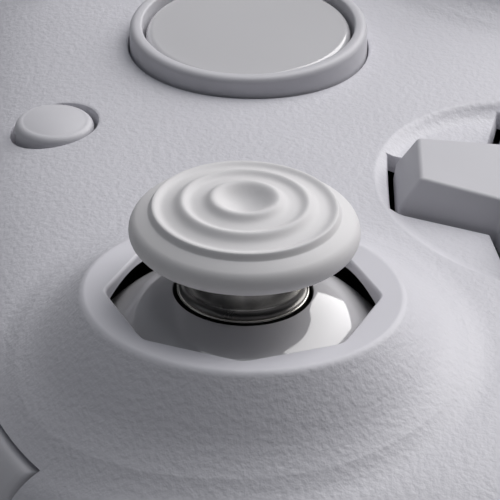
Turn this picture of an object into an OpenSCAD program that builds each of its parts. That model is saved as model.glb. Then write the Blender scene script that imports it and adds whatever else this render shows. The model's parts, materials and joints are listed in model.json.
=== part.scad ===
// Wireless gamepad: two-part casing, two analogue sticks in octagonal gates,
// direction pad, face buttons, home button, bumpers, triggers and the parts inside.
// Frame: +X to the player's right, +Y away from the player, +Z up out of the face.
// Origin: on the table, under the middle of the body.

/* [Body] */
// Width across the casing
body_w = 156; // [152:1:164]
// Y of the top edge in the middle
top_edge_y = 46; // [45:0.5:50]
// Y of the bottom edge between the grips
crotch_y = -31; // [-34:0.5:-30]
// Y at which the casing is widest
side_y = 6; // [4:0.5:9]
// How much further the grips reach towards the player
grip_len = 22; // [18:0.5:26]
// Distance from the middle at which the grips begin
crotch_half_w = 12; // [10:0.5:16]
// Distance from the middle to the grip tips
grip_x = 50; // [47:0.5:54]
// Height of the joint between the two casings
parting_h = 27; // [26:0.25:28]
// How far the joint drops towards the grip tips
grip_droop = 6.5; // [5.5:0.25:7.5]
// Y at which that drop begins
droop_y = 20; // [18:0.5:22]
// Height of the face above the joint
crown_h = 13; // [12.5:0.25:15]
// Depth of the grips below the joint
grip_depth = 21; // [20:0.25:22]
// Extra depth of the belly, cut flat where it rests
belly_extra = 6.6; // [6.3:0.1:7.5]
// Half width of the belly
belly_half_w = 26; // [24:0.5:28]
// Casing wall
wall = 2.2; // [1.8:0.1:2.6]

/* [Sticks] */
// X of the left stick, left of the middle
left_stick_x = 50; // [48:0.5:52]
// Y of the left stick and of the face buttons
left_stick_y = 17; // [15:0.5:18]
// Lean of the left stick towards the player, in degrees
left_lean = 1.3; // [0:0.1:2]
// X of the right stick and of the direction pad, from the middle
low_x = 24.1; // [23.5:0.1:25]
// Y of the right stick and of the direction pad
low_y = -10.6; // [-11.2:0.1:-10]
// Height of the gate above the face
gate_rise = 3.8; // [3.4:0.1:4.6]
// Radius of the smooth ring around the gate
gate_ring_r = 12.8; // [12.4:0.1:13.4]
// Distance from the stick to a corner of the octagonal gate
gate_corner_r = 11.15; // [10.9:0.05:11.4]
// Thickness of the gate lip
gate_lip = 1.5; // [1.2:0.1:1.8]
// Radius of the collar where it meets the face
collar_base_r = 18.4; // [17.5:0.1:19.5]
// Depth of the tilt centre under the gate
pivot_depth = 14.4; // [14:0.1:15]
// Radius of the dome under the stick
dome_r = 15.8; // [15.4:0.1:16]
// Radius of the stick cap
cap_r = 9.3; // [8.8:0.1:9.8]
// Height of the cap's rim above the gate
cap_rim_h = 5.75; // [5.4:0.05:6.2]
// Height of the metal neck's top above the gate
neck_top_h = 2.9; // [2.6:0.1:3.2]
// Radius of the metal neck
neck_r = 4.85; // [4.5:0.05:5]
// Radius of the bead at the foot of the neck
neck_bead_r = 5.3; // [5.1:0.05:5.4]
// Tilt of a stick each way, in degrees
stick_tilt = 13; // [10:0.5:13]
// Travel of a stick when it is pressed
stick_click = 0.5; // [0.3:0.05:0.6]

/* [Direction pad] */
// Distance from the middle of the pad to an arm's tip
dpad_r = 12.8; // [12.2:0.1:13.2]
// Half width of an arm at its tip
dpad_tip_w = 3.6; // [3.2:0.1:4]
// Taper of an arm's sides, in degrees
dpad_taper = 10.5; // [6:0.5:14]
// Height of the pad above the floor of its dish
dpad_h = 3.05; // [2.8:0.05:3.4]
// Radius of the dish
dish_r = 17; // [16.6:0.1:17.4]
// Depth of the dish
dish_depth = 1.1; // [0.8:0.1:1.4]
// Rocking angle each way, in degrees
dpad_rock = 3.5; // [2:0.5:4]

/* [Buttons] */
// Radius of a face button
face_r = 5.3; // [4.8:0.1:5.6]
// Distance from the middle of the group to a face button
face_pitch = 11.8; // [11.4:0.1:12.4]
// Height of a face button above the face
face_h = 2.3; // [2:0.1:2.8]
// Travel of a face button
face_travel = 1.2; // [0.8:0.1:1.4]
// Radius of a small button
small_r = 3.5; // [3:0.1:3.9]
// Height of a small button above the face
small_h = 0.75; // [0.6:0.05:1.2]
// X of the small buttons, from the middle
small_x = 14.3; // [13.8:0.1:15.2]
// Y of the small buttons
small_y = 33.6; // [33:0.1:34.2]
// Travel of the small buttons and of the home button
small_travel = 0.6; // [0.4:0.05:0.8]
// Radius of the home button
home_r = 9.3; // [8.8:0.1:9.6]
// Radius of the raised ring around the home button
home_ring_r = 10.8; // [10.6:0.1:11.4]
// Height of the ring above the face
home_ring_h = 1.8; // [1.5:0.1:2.2]
// Y of the home button
home_y = 16.5; // [15.5:0.5:17.5]

/* [Bumpers and triggers] */
// Inner end of a bumper, from the middle
bumper_in_x = 19; // [18.5:0.5:19.5]
// Outer end of a bumper, from the middle
bumper_out_x = 62; // [59:0.5:63]
// Upper edge of a bumper above the joint
bumper_high = 6.8; // [6.4:0.1:7]
// Swing of a bumper, in degrees
bumper_swing = 2.5; // [1.5:0.5:3]
// Inner side of a trigger, from the middle
trigger_in_x = 27; // [26.5:0.5:28]
// Width of a trigger
trigger_w = 25; // [22:0.5:26]
// Y of the trigger pins
trigger_y = 35.5; // [35:0.25:36]
// Height of the trigger pins above the joint
trigger_z = -4.5; // [-5:0.25:-4]
// Pull of a trigger, in degrees
trigger_pull = 17; // [12:1:18]
// Radius of a trigger pin
pin_r = 1.5; // [1.2:0.1:1.7]

/* [Inside] */
// Thickness of the circuit board
board_t = 1.6; // [1.2:0.1:1.8]
// Half width of a stick module's frame
frame_half = 8.1; // [7.9:0.1:8.4]
// Depth of a stick module below the tilt centre
frame_depth = 8; // [7.8:0.1:8.6]
// Least thickness of the base under a stick module
base_t = 0.8; // [0.6:0.1:1.2]
// Radius of the lower shaft of a stick
shaft_r = 1.25; // [1.1:0.05:1.4]
// Radius of a rumble motor
motor_r = 8; // [7:0.25:8.5]
// Length of a rumble motor
motor_len = 12; // [10:0.5:13]
// Length of the battery along X
battery_w = 46; // [40:1:48]
// Depth of the battery along Y
battery_d = 30; // [26:1:32]
// Height of the battery
battery_t = 9; // [7:0.5:10]
// Radius of a screw's shank
screw_r = 1.2; // [1:0.05:1.3]

/* [Clearances] */
// Gap between a button and the hole it travels in
button_gap = 0.35; // [0.3:0.05:0.5]
// Gap between parts that stay still
still_gap = 0.1; // [0.05:0.01:0.2]
// Radial gap of a turning pin
pin_gap = 0.05; // [0.03:0.01:0.08]
// Gap between a swinging part and the casing
swing_gap = 0.5; // [0.4:0.05:0.7]

/* [Hidden] */
$fn = 64;
face_n = 6;       // flatness of the casing from side to side
edge_n = 5;       // flatness of the casing from front to back
round_m = 2.2;    // roundness of the casing's edges
end_n = 2.8;      // roundness of the plan outline
stations = 38;    // sections along the casing
spokes = 10;      // points from the middle of a section to its edge
belly_fade = 16;  // width over which the belly rises to the grips
droop_end_y = crotch_y - grip_len + 1;
// The underside is cut flat where it would pass below the table
belly_low = max(0, parting_h - grip_depth - belly_extra);
floor_z = belly_low + wall + 0.2;

function smooth(a, b, v) =
    let (t = min(1, max(0, (v - a) / (b - a)))) t * t * (3 - 2 * t);
function closure(u, n, m) = pow(max(0, 1 - pow(min(1, abs(u)), n)), 1 / m);

// The casing's outer surface, or the same surface moved inwards by inset
function end_close(x, inset) = closure(x / (body_w / 2 - inset), end_n, end_n);
function top_y(x, inset = 0) =
    side_y + (top_edge_y - inset - side_y) * end_close(x, inset);
function bottom_y(x, inset = 0) =
    let (grip = grip_len * smooth(crotch_half_w, grip_x, abs(x)))
    side_y - (side_y - crotch_y - inset + grip) * end_close(x, inset);
function joint_z(y) = parting_h - grip_droop * smooth(-droop_y, -droop_end_y, -y);
function side_close(x, inset) = closure(x / (body_w / 2 - inset), face_n, round_m);
function belly(x) = belly_extra * (1 - smooth(belly_half_w, belly_half_w + belly_fade, abs(x)));
function up_h(x, inset) = (crown_h - inset) * side_close(x, inset);
function down_h(x, inset) = (grip_depth + belly(x) - inset) * side_close(x, inset);
function skin_point(x, s, up, inset) =
    let (high = top_y(x, inset), low = bottom_y(x, inset),
         y = (high + low) / 2 + s * (high - low) / 2,
         reach = closure(s, edge_n, round_m))
    [x, y, joint_z(y) + (up ? up_h(x, inset) : -down_h(x, inset)) * reach];
// Height of the face above the table at a place in plan
function face_z(x, y) =
    let (high = top_y(x), low = bottom_y(x), s = (2 * y - high - low) / (high - low))
    joint_z(y) + up_h(x, 0) * closure(s, edge_n, round_m);

// Height of the inner side of the face
function inner_z(x, y) =
    let (high = top_y(x, wall), low = bottom_y(x, wall), s = (2 * y - high - low) / (high - low))
    joint_z(y) + up_h(x, wall) * closure(s, edge_n, round_m);
// Height of the underside, before it is cut flat
function under_z(x, y) =
    let (high = top_y(x), low = bottom_y(x), s = (2 * y - high - low) / (high - low))
    joint_z(y) - down_h(x, 0) * closure(s, edge_n, round_m);

// Places and heights that several parts share
// Lean of the right stick and the direction pad, square to the face under them
low_lean = atan((face_z(low_x, low_y + 5) - face_z(low_x, low_y - 5)) / 10);
// Each stick: its tilt centre and its lean
function stick_frame_at(x, y, lean) =
    let (d = pivot_depth - gate_rise) [x, y + d * sin(lean), face_z(x, y) - d * cos(lean), lean];
left_stick = stick_frame_at(-left_stick_x, left_stick_y, left_lean);
right_stick = stick_frame_at(low_x, low_y, low_lean);
sticks = [left_stick, right_stick];
board_z = min([for (s = sticks) s[2] - frame_depth * cos(s[3]) - frame_half * sin(s[3])]) - base_t;
board_low_z = board_z - board_t;
gate_hole_r = gate_corner_r * cos(22.5) + 0.15;
cavity_r = dome_r + 0.6;
dome_t = 1.2;
// The dome still closes the gate when the stick leans both ways
dome_overlap = 1;
dome_edge_angle = asin(gate_hole_r / dome_r) + acos(pow(cos(stick_tilt), 2)) + dome_overlap;
dome_edge_z = dome_r * cos(dome_edge_angle);
dome_hole_r = neck_bead_r + 0.35;
hub_top = -0.8;
hub_low = -2.4;
hub_r = 3.2;
neck_socket = 1;
neck_stud_r = 3;
neck_stud_h = neck_top_h + 2.1;
frame_wall = 1.2;
frame_in = frame_half - frame_wall;
trunnion_r = 1;

dpad_at = [-low_x, low_y];
dpad_face = face_z(dpad_at[0], dpad_at[1]);
dpad_draft = 0.9;
dish_floor_t = 1.6;
dpad_foot_r = dpad_r / dpad_draft;
dpad_foot_w = dpad_tip_w / dpad_draft;
dpad_step = 0.4;
dpad_flange_r = dpad_foot_r + 1;
// The flange stays clear of the casing's inside when the pad rocks both ways
function pad_ceiling(a) =
    let (u = dpad_flange_r * cos(a), v = dpad_flange_r * sin(a),
        x = dpad_at[0] + u, y = dpad_at[1] + v * cos(low_lean))
    (inner_z(x, y) - dpad_face - v * sin(low_lean)) * cos(low_lean);
pad_room = min(-dish_depth - dish_floor_t, min([for (a = [0 : 30 : 330]) pad_ceiling(a)]));
dpad_flange_top = pad_room - dpad_flange_r * sin(1.45 * dpad_rock) - 0.2;
flange_t = 1;
flange_low = dpad_flange_top - flange_t;
ball_z = flange_low - 0.4;
ball_r = 1.7;
ball_at = [dpad_at[0], dpad_at[1] - ball_z * sin(low_lean), dpad_face + ball_z * cos(low_lean)];
leg_at = 8.5;
leg_r = 1.6;
leg_end = -(dpad_face - board_z - 7.5);
leg_gap = leg_at * sin(dpad_rock) + 0.35;

face_at = [left_stick_x, left_stick_y];
face_angles = [270, 0, 180, 90];
function face_place(i) = face_at + face_pitch * [cos(face_angles[i]), sin(face_angles[i])];
face_body = 5;
membrane_t = 0.8;
face_dome_top = board_z + 5.5;
small_places = [[-small_x, small_y], [small_x, small_y]];
home_at = [0, home_y];
home_z = face_z(0, home_y);
switch_h = 3.4;
switch_w = 6;

bumper_top = parting_h + bumper_high;
bumper_lug_r = 2.9;
bumper_pin_x = bumper_in_x + 3;
bumper_pin = [bumper_pin_x, top_y(bumper_pin_x) - wall - bumper_lug_r - 0.7];
// The casing is cut away behind a bumper as far as its outer end swings
bumper_room = 6.2;
bumper_cut_y = top_y(bumper_out_x) - wall - (bumper_out_x - bumper_pin_x) * sin(bumper_swing) - bumper_room;
bumper_lug_z = [parting_h + swing_gap, parting_h + 5];

lug_t = 2;
trigger_out_x = trigger_in_x + trigger_w;
trigger_eye_r = pin_r + 1.8;
trigger_side_gap = 0.6;
trigger_sensor = [5, 4, 3];
lug_half = 4;
// The casing is open below a trigger as far as its root comes down when it is pulled
trigger_arm = 8.8;
trigger_nose = 8.6;
trigger_fall = 14.4;
trigger_root = 5.2;
trigger_reach = 13.3;
trigger_pin_z = parting_h + trigger_z;
trigger_open_z = trigger_pin_z - trigger_root - trigger_reach * sin(trigger_pull);

case_screws_at = [[-62, -6], [62, -6], [-46, -36], [46, -36], [0, -23]];
board_screws_at = [[-42, -8], [38, 6], [0, 33]];
screw_seat = 3.5;
head_r = 2 * screw_r;
head_t = 1.5;
boss_r = screw_r + 2.1;
hole_z = parting_h + 2;
hole_h = crown_h + 1;
usb_w = 8.9;
usb_h = 3.2;
usb_d = 7.4;
usb_gap = 0.2;
usb_y = top_edge_y - 0.8;
// Outline of the board: wings under the sticks and the face buttons, and a tongue to the socket
board_left_x = left_stick_x + 13;
board_right_x = left_stick_x + 16;
board_back_y = left_stick_y + 14;
board_wing_y = left_stick_y - 18;
board_neck_x = low_x + 12.2;
board_neck_y = low_y - 2.8;
board_front_y = low_y - 9.8;
board_tongue_x = bumper_pin_x - bumper_lug_r - 0.6;
board_step_x = 2.2;
board_step_y = bumper_pin[1] - bumper_lug_r - 0.4;
board_tongue_y = usb_y - 5.6;
motor_x = 50;
motor_y = -22;
motor_z = 17;
motor_shaft_r = 0.75;
rib_t = 2;
weight_r = motor_r - 0.4;
weight_t = 5;
battery_y = 9;
tray_wall = 1.8;
tray_floor = 0.8;

white = [0.80, 0.80, 0.82];
pale = [0.86, 0.86, 0.87];
gloss_white = [0.88, 0.88, 0.90];
nickel = [0.66, 0.65, 0.62];
black = [0.08, 0.08, 0.09];
board_green = [0.05, 0.28, 0.18];
dark_grey = [0.20, 0.20, 0.22];
steel = [0.60, 0.61, 0.63];

// The closed solid inside the casing's surface, from rings of points at stations along X
module casing_solid(inset) {
    half = body_w / 2 - inset;
    xs = [for (i = [1 : stations - 1]) half * sin(-90 + 180 * i / stations)];
    ss = [for (k = [-spokes : spokes]) sin(90 * k / spokes)];
    ring_n = 4 * spokes;
    rings = [for (x = xs) concat(
        [for (s = ss) skin_point(x, s, true, inset)],
        [for (k = [2 * spokes - 1 : -1 : 1]) skin_point(x, ss[k], false, inset)])];
    ends = [[-half, side_y, joint_z(side_y)], [half, side_y, joint_z(side_y)]];
    points = concat([for (r = rings) each r], ends);
    last = len(xs) - 1;
    left_end = len(points) - 2;
    sides = [for (i = [0 : last - 1], k = [0 : ring_n - 1])
        let (a = i * ring_n + k, b = i * ring_n + (k + 1) % ring_n)
        each [[a, b, a + ring_n], [b, b + ring_n, a + ring_n]]];
    caps = [for (k = [0 : ring_n - 1]) let (n = (k + 1) % ring_n)
        each [[left_end, n, k], [left_end + 1, last * ring_n + k, last * ring_n + n]]];
    polyhedron(points, concat(sides, caps));
}

module half_space(low_z) {
    translate([-120, -120, low_z]) cube([240, 240, 240]);
}

// Everything above the joint between the two casings
module above_joint() {
    ys = [for (i = [0 : 32]) droop_y + 2 - i * 2.5];
    rotate([90, 0, 90]) linear_extrude(height = 200, center = true)
        polygon(concat([[70, 90], [70, parting_h]], [for (y = ys) [y, joint_z(y)]],
            [[-70, joint_z(-70)], [-70, 90]]));
}

module casing_inner() {
    intersection() {
        casing_solid(wall);
        half_space(floor_z);
    }
}

// A pair of the children, the second mirrored across the middle
module both_sides() {
    children();
    mirror([1, 0, 0]) children();
}

function cross_points(r, w, taper) =
    let (k = tan(taper), c = (w + k * r) / (1 + k))
    [[r, -w], [r, w], [c, c], [w, r], [-w, r], [-c, c],
     [-r, w], [-r, -w], [-c, -c], [-w, -r], [w, -r], [c, -c]];

module octagon(r, h) {
    cylinder(r = r, h = h, $fn = 8);
}

// Collar of a stick: a ring that rises from the face like a crater, from the gate down
module collar() {
    edge_r = gate_ring_r + 0.5;
    edge_z = -0.6;
    flank = [for (i = [0 : 6]) let (q = i / 6)
        [edge_r + (collar_base_r - edge_r) * q, edge_z - (gate_rise + edge_z) * q * (1.35 - 0.35 * q)]];
    foot = gate_rise + 5;
    rotate_extrude()
        polygon(concat([[0, 0], [gate_ring_r, 0], [gate_ring_r + 0.35, -0.18]], flank,
            [[collar_base_r + 2, -foot], [0, -foot]]));
}

module stick_place(s) {
    translate([s[0], s[1], s[2]]) rotate([s[3], 0, 0]) children();
}

module stick_opening() {
    sphere(r = cavity_r);
    translate([0, 0, pivot_depth - gate_lip - 4]) cylinder(r = gate_hole_r, h = 8);
    translate([0, 0, pivot_depth - gate_lip]) octagon(gate_corner_r, 4);
}

module dpad_place() {
    translate([dpad_at[0], dpad_at[1], dpad_face]) rotate([low_lean, 0, 0]) children();
}

module dish_cut() {
    slope = [for (i = [0 : 6]) let (t = i / 6)
        [dish_r - 2.4 + 2.4 * t, -dish_depth + (dish_depth + 0.4) * t * t]];
    rotate_extrude() polygon(concat([[0, -dish_depth]], slope, [[dish_r + 0.4, 4], [0, 4]]));
}

// Block in which a bumper lies, or the larger block that is cut from the casing for it
module bumper_region(grow) {
    low = parting_h + (grow > 0 ? -1 : swing_gap);
    translate([bumper_in_x - grow, bumper_cut_y - grow, low])
        cube([bumper_out_x - bumper_in_x + 2 * grow, top_edge_y, bumper_top + grow - low]);
}

module top_shell() {
    color(white) difference() {
        union() {
            intersection() {
                difference() {
                    casing_solid(0);
                    casing_inner();
                }
                above_joint();
            }
            for (s = sticks) stick_place(s) translate([0, 0, pivot_depth]) collar();
            intersection() {
                casing_solid(wall / 2);
                above_joint();
                union() {
                    dpad_place() translate([0, 0, -dish_depth - dish_floor_t])
                        cylinder(r = dish_r + 1.2, h = dish_floor_t);
                    for (at = case_screws_at) translate([at[0], at[1], 0])
                        cylinder(r = boss_r, h = parting_h + crown_h);
                    both_sides() translate([bumper_pin[0], bumper_pin[1], bumper_top + swing_gap])
                        cylinder(r = bumper_lug_r, h = 10);
                }
            }
        }
        for (s = sticks) stick_place(s) stick_opening();
        dpad_place() {
            dish_cut();
            translate([0, 0, -8]) linear_extrude(height = 10)
                polygon(cross_points(dpad_foot_r + swing_gap, dpad_foot_w + swing_gap, dpad_taper));
        }
        for (i = [0 : 3]) translate([face_place(i)[0], face_place(i)[1], hole_z])
            cylinder(r = face_r + button_gap, h = hole_h);
        for (at = small_places) translate([at[0], at[1], hole_z])
            cylinder(r = small_r + button_gap, h = hole_h);
        translate([home_at[0], home_at[1], hole_z]) cylinder(r = home_ring_r + still_gap, h = hole_h);
        for (at = case_screws_at) translate([at[0], at[1], joint_z(at[1]) - 1])
            cylinder(r = screw_r + still_gap, h = 8);
        both_sides() bumper_region(swing_gap);
        both_sides() translate([bumper_pin[0], bumper_pin[1], bumper_top - 1])
            cylinder(r = pin_r + still_gap, h = 3);
    }
}

module bottom_shell() {
    color(white) difference() {
        union() {
            difference() {
                intersection() {
                    casing_solid(0);
                    half_space(0);
                }
                casing_inner();
                above_joint();
            }
            difference() {
                intersection() {
                    casing_solid(wall / 2);
                    half_space(wall / 2);
                    union() {
                        for (at = case_screws_at) translate([at[0], at[1], 0]) cylinder(r = boss_r, h = 40);
                        for (at = board_screws_at) translate([at[0], at[1], 0])
                            cylinder(r = boss_r, h = board_low_z);
                        both_sides() {
                            for (x = [trigger_in_x - trigger_side_gap - lug_t,
                                trigger_out_x + trigger_side_gap])
                                translate([x, trigger_y - lug_half, 0])
                                    cube([lug_t, 2 * lug_half, trigger_pin_z + 3]);
                            for (x = [motor_x - motor_len / 2 + 1, motor_x + motor_len / 2 - 1 - rib_t])
                                translate([x, motor_y - motor_r, 0]) cube([rib_t, 2 * motor_r, motor_z]);
                            translate([bumper_pin[0], bumper_pin[1], 0])
                                cylinder(r = bumper_lug_r, h = parting_h);
                        }
                    }
                }
                above_joint();
            }
        }
        for (at = case_screws_at) {
            seat = under_z(at[0], at[1]) + screw_seat;
            translate([at[0], at[1], -1]) cylinder(r = head_r + 0.3, h = seat + 1);
            translate([at[0], at[1], 0]) cylinder(r = screw_r + still_gap, h = 40);
        }
        for (at = board_screws_at) translate([at[0], at[1], board_low_z - 6])
            cylinder(r = screw_r + still_gap, h = 10);
        both_sides() {
            translate([trigger_in_x - swing_gap, trigger_y - 8, trigger_open_z])
                cube([trigger_w + 2 * swing_gap, 40, 30]);
            translate([0, trigger_y, trigger_pin_z]) rotate([0, 90, 0]) translate([0, 0, trigger_in_x - 6])
                cylinder(r = pin_r + still_gap, h = trigger_w + 9);
            translate([motor_x - 20, motor_y, motor_z]) rotate([0, 90, 0])
                cylinder(r = motor_r + still_gap, h = 40);
            translate([bumper_pin[0], bumper_pin[1], parting_h - 4]) cylinder(r = pin_r + still_gap, h = 8);
        }
        translate([-usb_w / 2 - usb_gap, usb_y - usb_d - usb_gap, board_z - usb_gap])
            cube([usb_w + 2 * usb_gap, 2 * usb_d, usb_h + 2 * usb_gap]);
    }
}

// Stick parts, about the tilt centre, with the gate at pivot_depth
ridge_at = [for (share = [0.241, 0.546, 0.804]) share * cap_r];
ridge_h = 0.4;
ridge_w = 0.66;
rim_r = 1.75;     // radius of the rim's upper rounding
rim_under = 1.2;  // depth of the rim below its widest place
rim_c = cap_r - rim_r;
crown_rise = 2.8;
crown_drop = 0.6;
cap_dish = 0.25;
function cap_base(r) = cap_rim_h + crown_rise - crown_drop * pow(r / ridge_at[2], 2);
function ridges(r) = ridge_h * (exp(-pow((r - ridge_at[0]) / ridge_w, 2))
    + exp(-pow((r - ridge_at[1]) / ridge_w, 2)) + exp(-pow((r - ridge_at[2]) / ridge_w, 2)));
function cap_top(r) =
    cap_base(r) + ridges(r) - cap_dish * pow(1 - pow(min(1, r / ridge_at[0]), 2), 2);

module stick_cap() {
    edge = ridge_at[2];
    top = [for (i = [0 : 26]) let (r = edge * i / 26) [r, cap_top(r)]];
    step = [[edge + 0.25, cap_top(edge) - 0.15], [edge + 0.42, cap_top(edge) - 0.5]];
    rim = [for (a = [75 : -15 : -60])
        [rim_c + rim_r * cos(a), cap_rim_h + (a > 0 ? rim_r : rim_under) * sin(a)]];
    waist = neck_r + 0.55;
    color(pale) translate([0, 0, pivot_depth]) difference() {
        rotate_extrude() polygon(concat(top, step, rim,
            [[cap_r - 1.9, cap_rim_h - 1.55], [waist + 0.2, neck_top_h + 0.75], [waist, neck_top_h],
            [0, neck_top_h]]));
        cylinder(r = neck_stud_r + still_gap, h = neck_stud_h + 2 * still_gap);
    }
}

module stick_neck() {
    color(nickel) translate([0, 0, pivot_depth]) difference() {
        union() {
            rotate_extrude() polygon([[0, hub_top], [neck_bead_r, hub_top], [neck_bead_r, 0.45],
                [neck_bead_r - 0.12, 0.68], [neck_bead_r - 0.4, 0.78], [neck_r, 0.95],
                [neck_r, neck_top_h], [0, neck_top_h]]);
            cylinder(r = neck_stud_r, h = neck_stud_h);
        }
        translate([0, 0, hub_top - 1]) cylinder(r = hub_r + still_gap, h = neck_socket - hub_top + 1);
    }
}

module stick_dome() {
    color(gloss_white) difference() {
        union() {
            difference() {
                sphere(r = dome_r);
                sphere(r = dome_r - dome_t);
                translate([0, 0, dome_edge_z - 40]) cube([80, 80, 80], center = true);
            }
            intersection() {
                sphere(r = dome_r - dome_t / 2);
                translate([0, 0, pivot_depth + hub_low]) cylinder(r = 6.6, h = 10);
            }
        }
        translate([0, 0, pivot_depth + hub_top]) cylinder(r = dome_hole_r, h = 10);
        cylinder(r = hub_r + still_gap, h = 30);
    }
}

switch_body_h = 1.1;
switch_stem_h = 0.5;
switch_top = frame_wall - frame_depth + switch_body_h + switch_stem_h;
shaft_low = switch_top + stick_click + 0.4;
shaft_step = pivot_depth - 5.6;
bail_r = 6.6;
bail_t = 1;
bail_slot = bail_r * tan(stick_tilt) + shaft_r + 0.7;

module stick_shaft() {
    color(dark_grey) {
        translate([0, 0, shaft_low]) cylinder(r = shaft_r, h = shaft_step - shaft_low + 1);
        translate([0, 0, shaft_step])
            cylinder(r = hub_r, h = pivot_depth - shaft_step + neck_socket - still_gap);
        translate([0, 0, shaft_step]) cylinder(r = hub_r + 1, h = pivot_depth + hub_low - shaft_step);
    }
}

module stick_pivot() {
    color(dark_grey) difference() {
        union() {
            cube([4.6, 3, 4.6], center = true);
            rotate([90, 0, 0]) cylinder(r = 0.8, h = 5.4, center = true);
        }
        cylinder(r = shaft_r + pin_gap, h = 20, center = true);
    }
}

module stick_yoke() {
    color(black) difference() {
        union() {
            cube([12, 5.6, 4.2], center = true);
            rotate([0, 90, 0]) cylinder(r = trunnion_r, h = 2 * frame_half + 1.4, center = true);
        }
        cube([7.4, 3.3, 10], center = true);
        rotate([90, 0, 0]) cylinder(r = 0.8 + pin_gap, h = 20, center = true);
    }
}

module stick_bail() {
    color(black) difference() {
        union() {
            intersection() {
                rotate([0, 90, 0]) difference() {
                    cylinder(r = bail_r, h = 5, center = true);
                    cylinder(r = bail_r - bail_t, h = 6, center = true);
                }
                translate([-10, -10, -1.2]) cube([20, 20, 20]);
            }
            for (s = [-1, 1]) rotate([-90 * s, 0, 0]) translate([0, 0, bail_r - bail_t + 0.1])
                cylinder(r = trunnion_r, h = frame_half + 0.7 - bail_r + bail_t - 0.1);
        }
        translate([-shaft_r - 0.2, -bail_slot, 2]) cube([2 * shaft_r + 0.4, 2 * bail_slot, 10]);
    }
}

module stick_frame() {
    color(steel) difference() {
        translate([-frame_half, -frame_half, -frame_depth])
            cube([2 * frame_half, 2 * frame_half, frame_depth + 2.5]);
        translate([-frame_in, -frame_in, frame_wall - frame_depth]) cube([2 * frame_in, 2 * frame_in, 20]);
        rotate([0, 90, 0]) cylinder(r = trunnion_r + pin_gap, h = 40, center = true);
        rotate([90, 0, 0]) cylinder(r = trunnion_r + pin_gap, h = 40, center = true);
    }
}

// Angle sensors on the inner side and on the side towards the player
module stick_sensors(side) {
    color(board_green) difference() {
        union() {
            translate([side > 0 ? frame_half : -frame_half - 2.8, -4.5, -5]) cube([2.8, 9, 7.3]);
            translate([-4.5, -frame_half - 2.8, -5]) cube([9, 2.8, 7.3]);
        }
        rotate([0, 90, 0]) cylinder(r = trunnion_r + pin_gap, h = 2 * frame_half + 3, center = true);
        rotate([90, 0, 0]) cylinder(r = trunnion_r + pin_gap, h = 2 * frame_half + 3, center = true);
    }
}

// Wedge that carries a stick module on the board
module stick_base(s) {
    color(black) intersection() {
        half_space(board_z);
        stick_place(s) translate([-frame_half, -frame_half, -frame_depth - 8])
            cube([2 * frame_half, 2 * frame_half, 8]);
    }
}

module stick_switch() {
    color(black) {
        translate([-switch_w / 2, -switch_w / 2, frame_wall - frame_depth])
            cube([switch_w, switch_w, switch_body_h]);
        translate([0, 0, switch_top - switch_stem_h]) cylinder(r = 1.5, h = switch_stem_h);
    }
}

module dpad() {
    color(pale) dpad_place() difference() {
        union() {
            translate([0, 0, -dish_depth]) linear_extrude(height = dpad_h, scale = dpad_draft)
                polygon(cross_points(dpad_foot_r, dpad_foot_w, dpad_taper));
            translate([0, 0, flange_low]) linear_extrude(height = -dish_depth - flange_low)
                polygon(cross_points(dpad_foot_r - dpad_step, dpad_foot_w - dpad_step, dpad_taper));
            translate([0, 0, flange_low]) cylinder(r = dpad_flange_r, h = flange_t);
            translate([0, 0, ball_z]) cylinder(r = 3.2, h = 2);
            for (a = [0 : 90 : 270]) rotate([0, 0, a]) translate([leg_at, 0, leg_end])
                cylinder(r = leg_r, h = dpad_flange_top - leg_end - 0.5);
        }
        translate([0, 0, ball_z]) sphere(r = ball_r + pin_gap);
    }
}

module dpad_ball() {
    color(steel) translate(ball_at) sphere(r = ball_r);
}

module dpad_post() {
    color(dark_grey) difference() {
        translate([ball_at[0], ball_at[1], board_z]) cylinder(r = 1.9, h = ball_at[2] - board_z - 0.9);
        translate(ball_at) sphere(r = ball_r + pin_gap);
    }
}

module dpad_membrane() {
    color(dark_grey) difference() {
        union() {
            translate([ball_at[0], ball_at[1], board_z]) cylinder(r = leg_at + 3.5, h = membrane_t);
            intersection() {
                half_space(board_z + membrane_t / 2);
                dpad_place() for (a = [0 : 90 : 270]) rotate([0, 0, a])
                    translate([leg_at, 0, leg_end - leg_gap - 30]) cylinder(r = leg_r + 0.6, h = 30);
            }
        }
        translate([ball_at[0], ball_at[1], board_z - 1]) cylinder(r = 2.4, h = 10);
    }
}

// A round button from its rest height top, with its stem and two tabs under the casing
module round_button(r, top, body_low, stem_r, stem_low) {
    edge = [for (a = [0 : 18 : 90]) [r - 0.7 + 0.7 * cos(a), top - 1.05 + 0.7 * sin(a)]];
    crown = [for (i = [5 : -1 : 0]) let (q = (r - 0.7) * i / 6) [q, top - 0.35 * pow(q / (r - 0.7), 2)]];
    rotate_extrude()
        polygon(concat([[0, stem_low], [stem_r, stem_low], [stem_r, body_low], [r, body_low]], edge, crown));
}

module face_button(i) {
    at = face_place(i);
    z = face_z(at[0], at[1]);
    low = z - face_body;
    a = face_angles[i] + 90;
    half_l = face_r + 1;
    half_w = 1.4;
    corners = [for (u = [-half_l, half_l], v = [-half_w, half_w])
        at + [u * cos(a) - v * sin(a), u * sin(a) + v * cos(a)]];
    tab_top = min([for (c = corners) inner_z(c[0], c[1])]) - 2 * button_gap;
    color(pale) translate([at[0], at[1], 0]) {
        round_button(face_r, z + face_h, low, 2.6, face_dome_top + face_travel + 0.2);
        rotate([0, 0, a]) translate([-half_l, -half_w, low]) cube([2 * half_l, 2 * half_w, tab_top - low]);
    }
}

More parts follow.
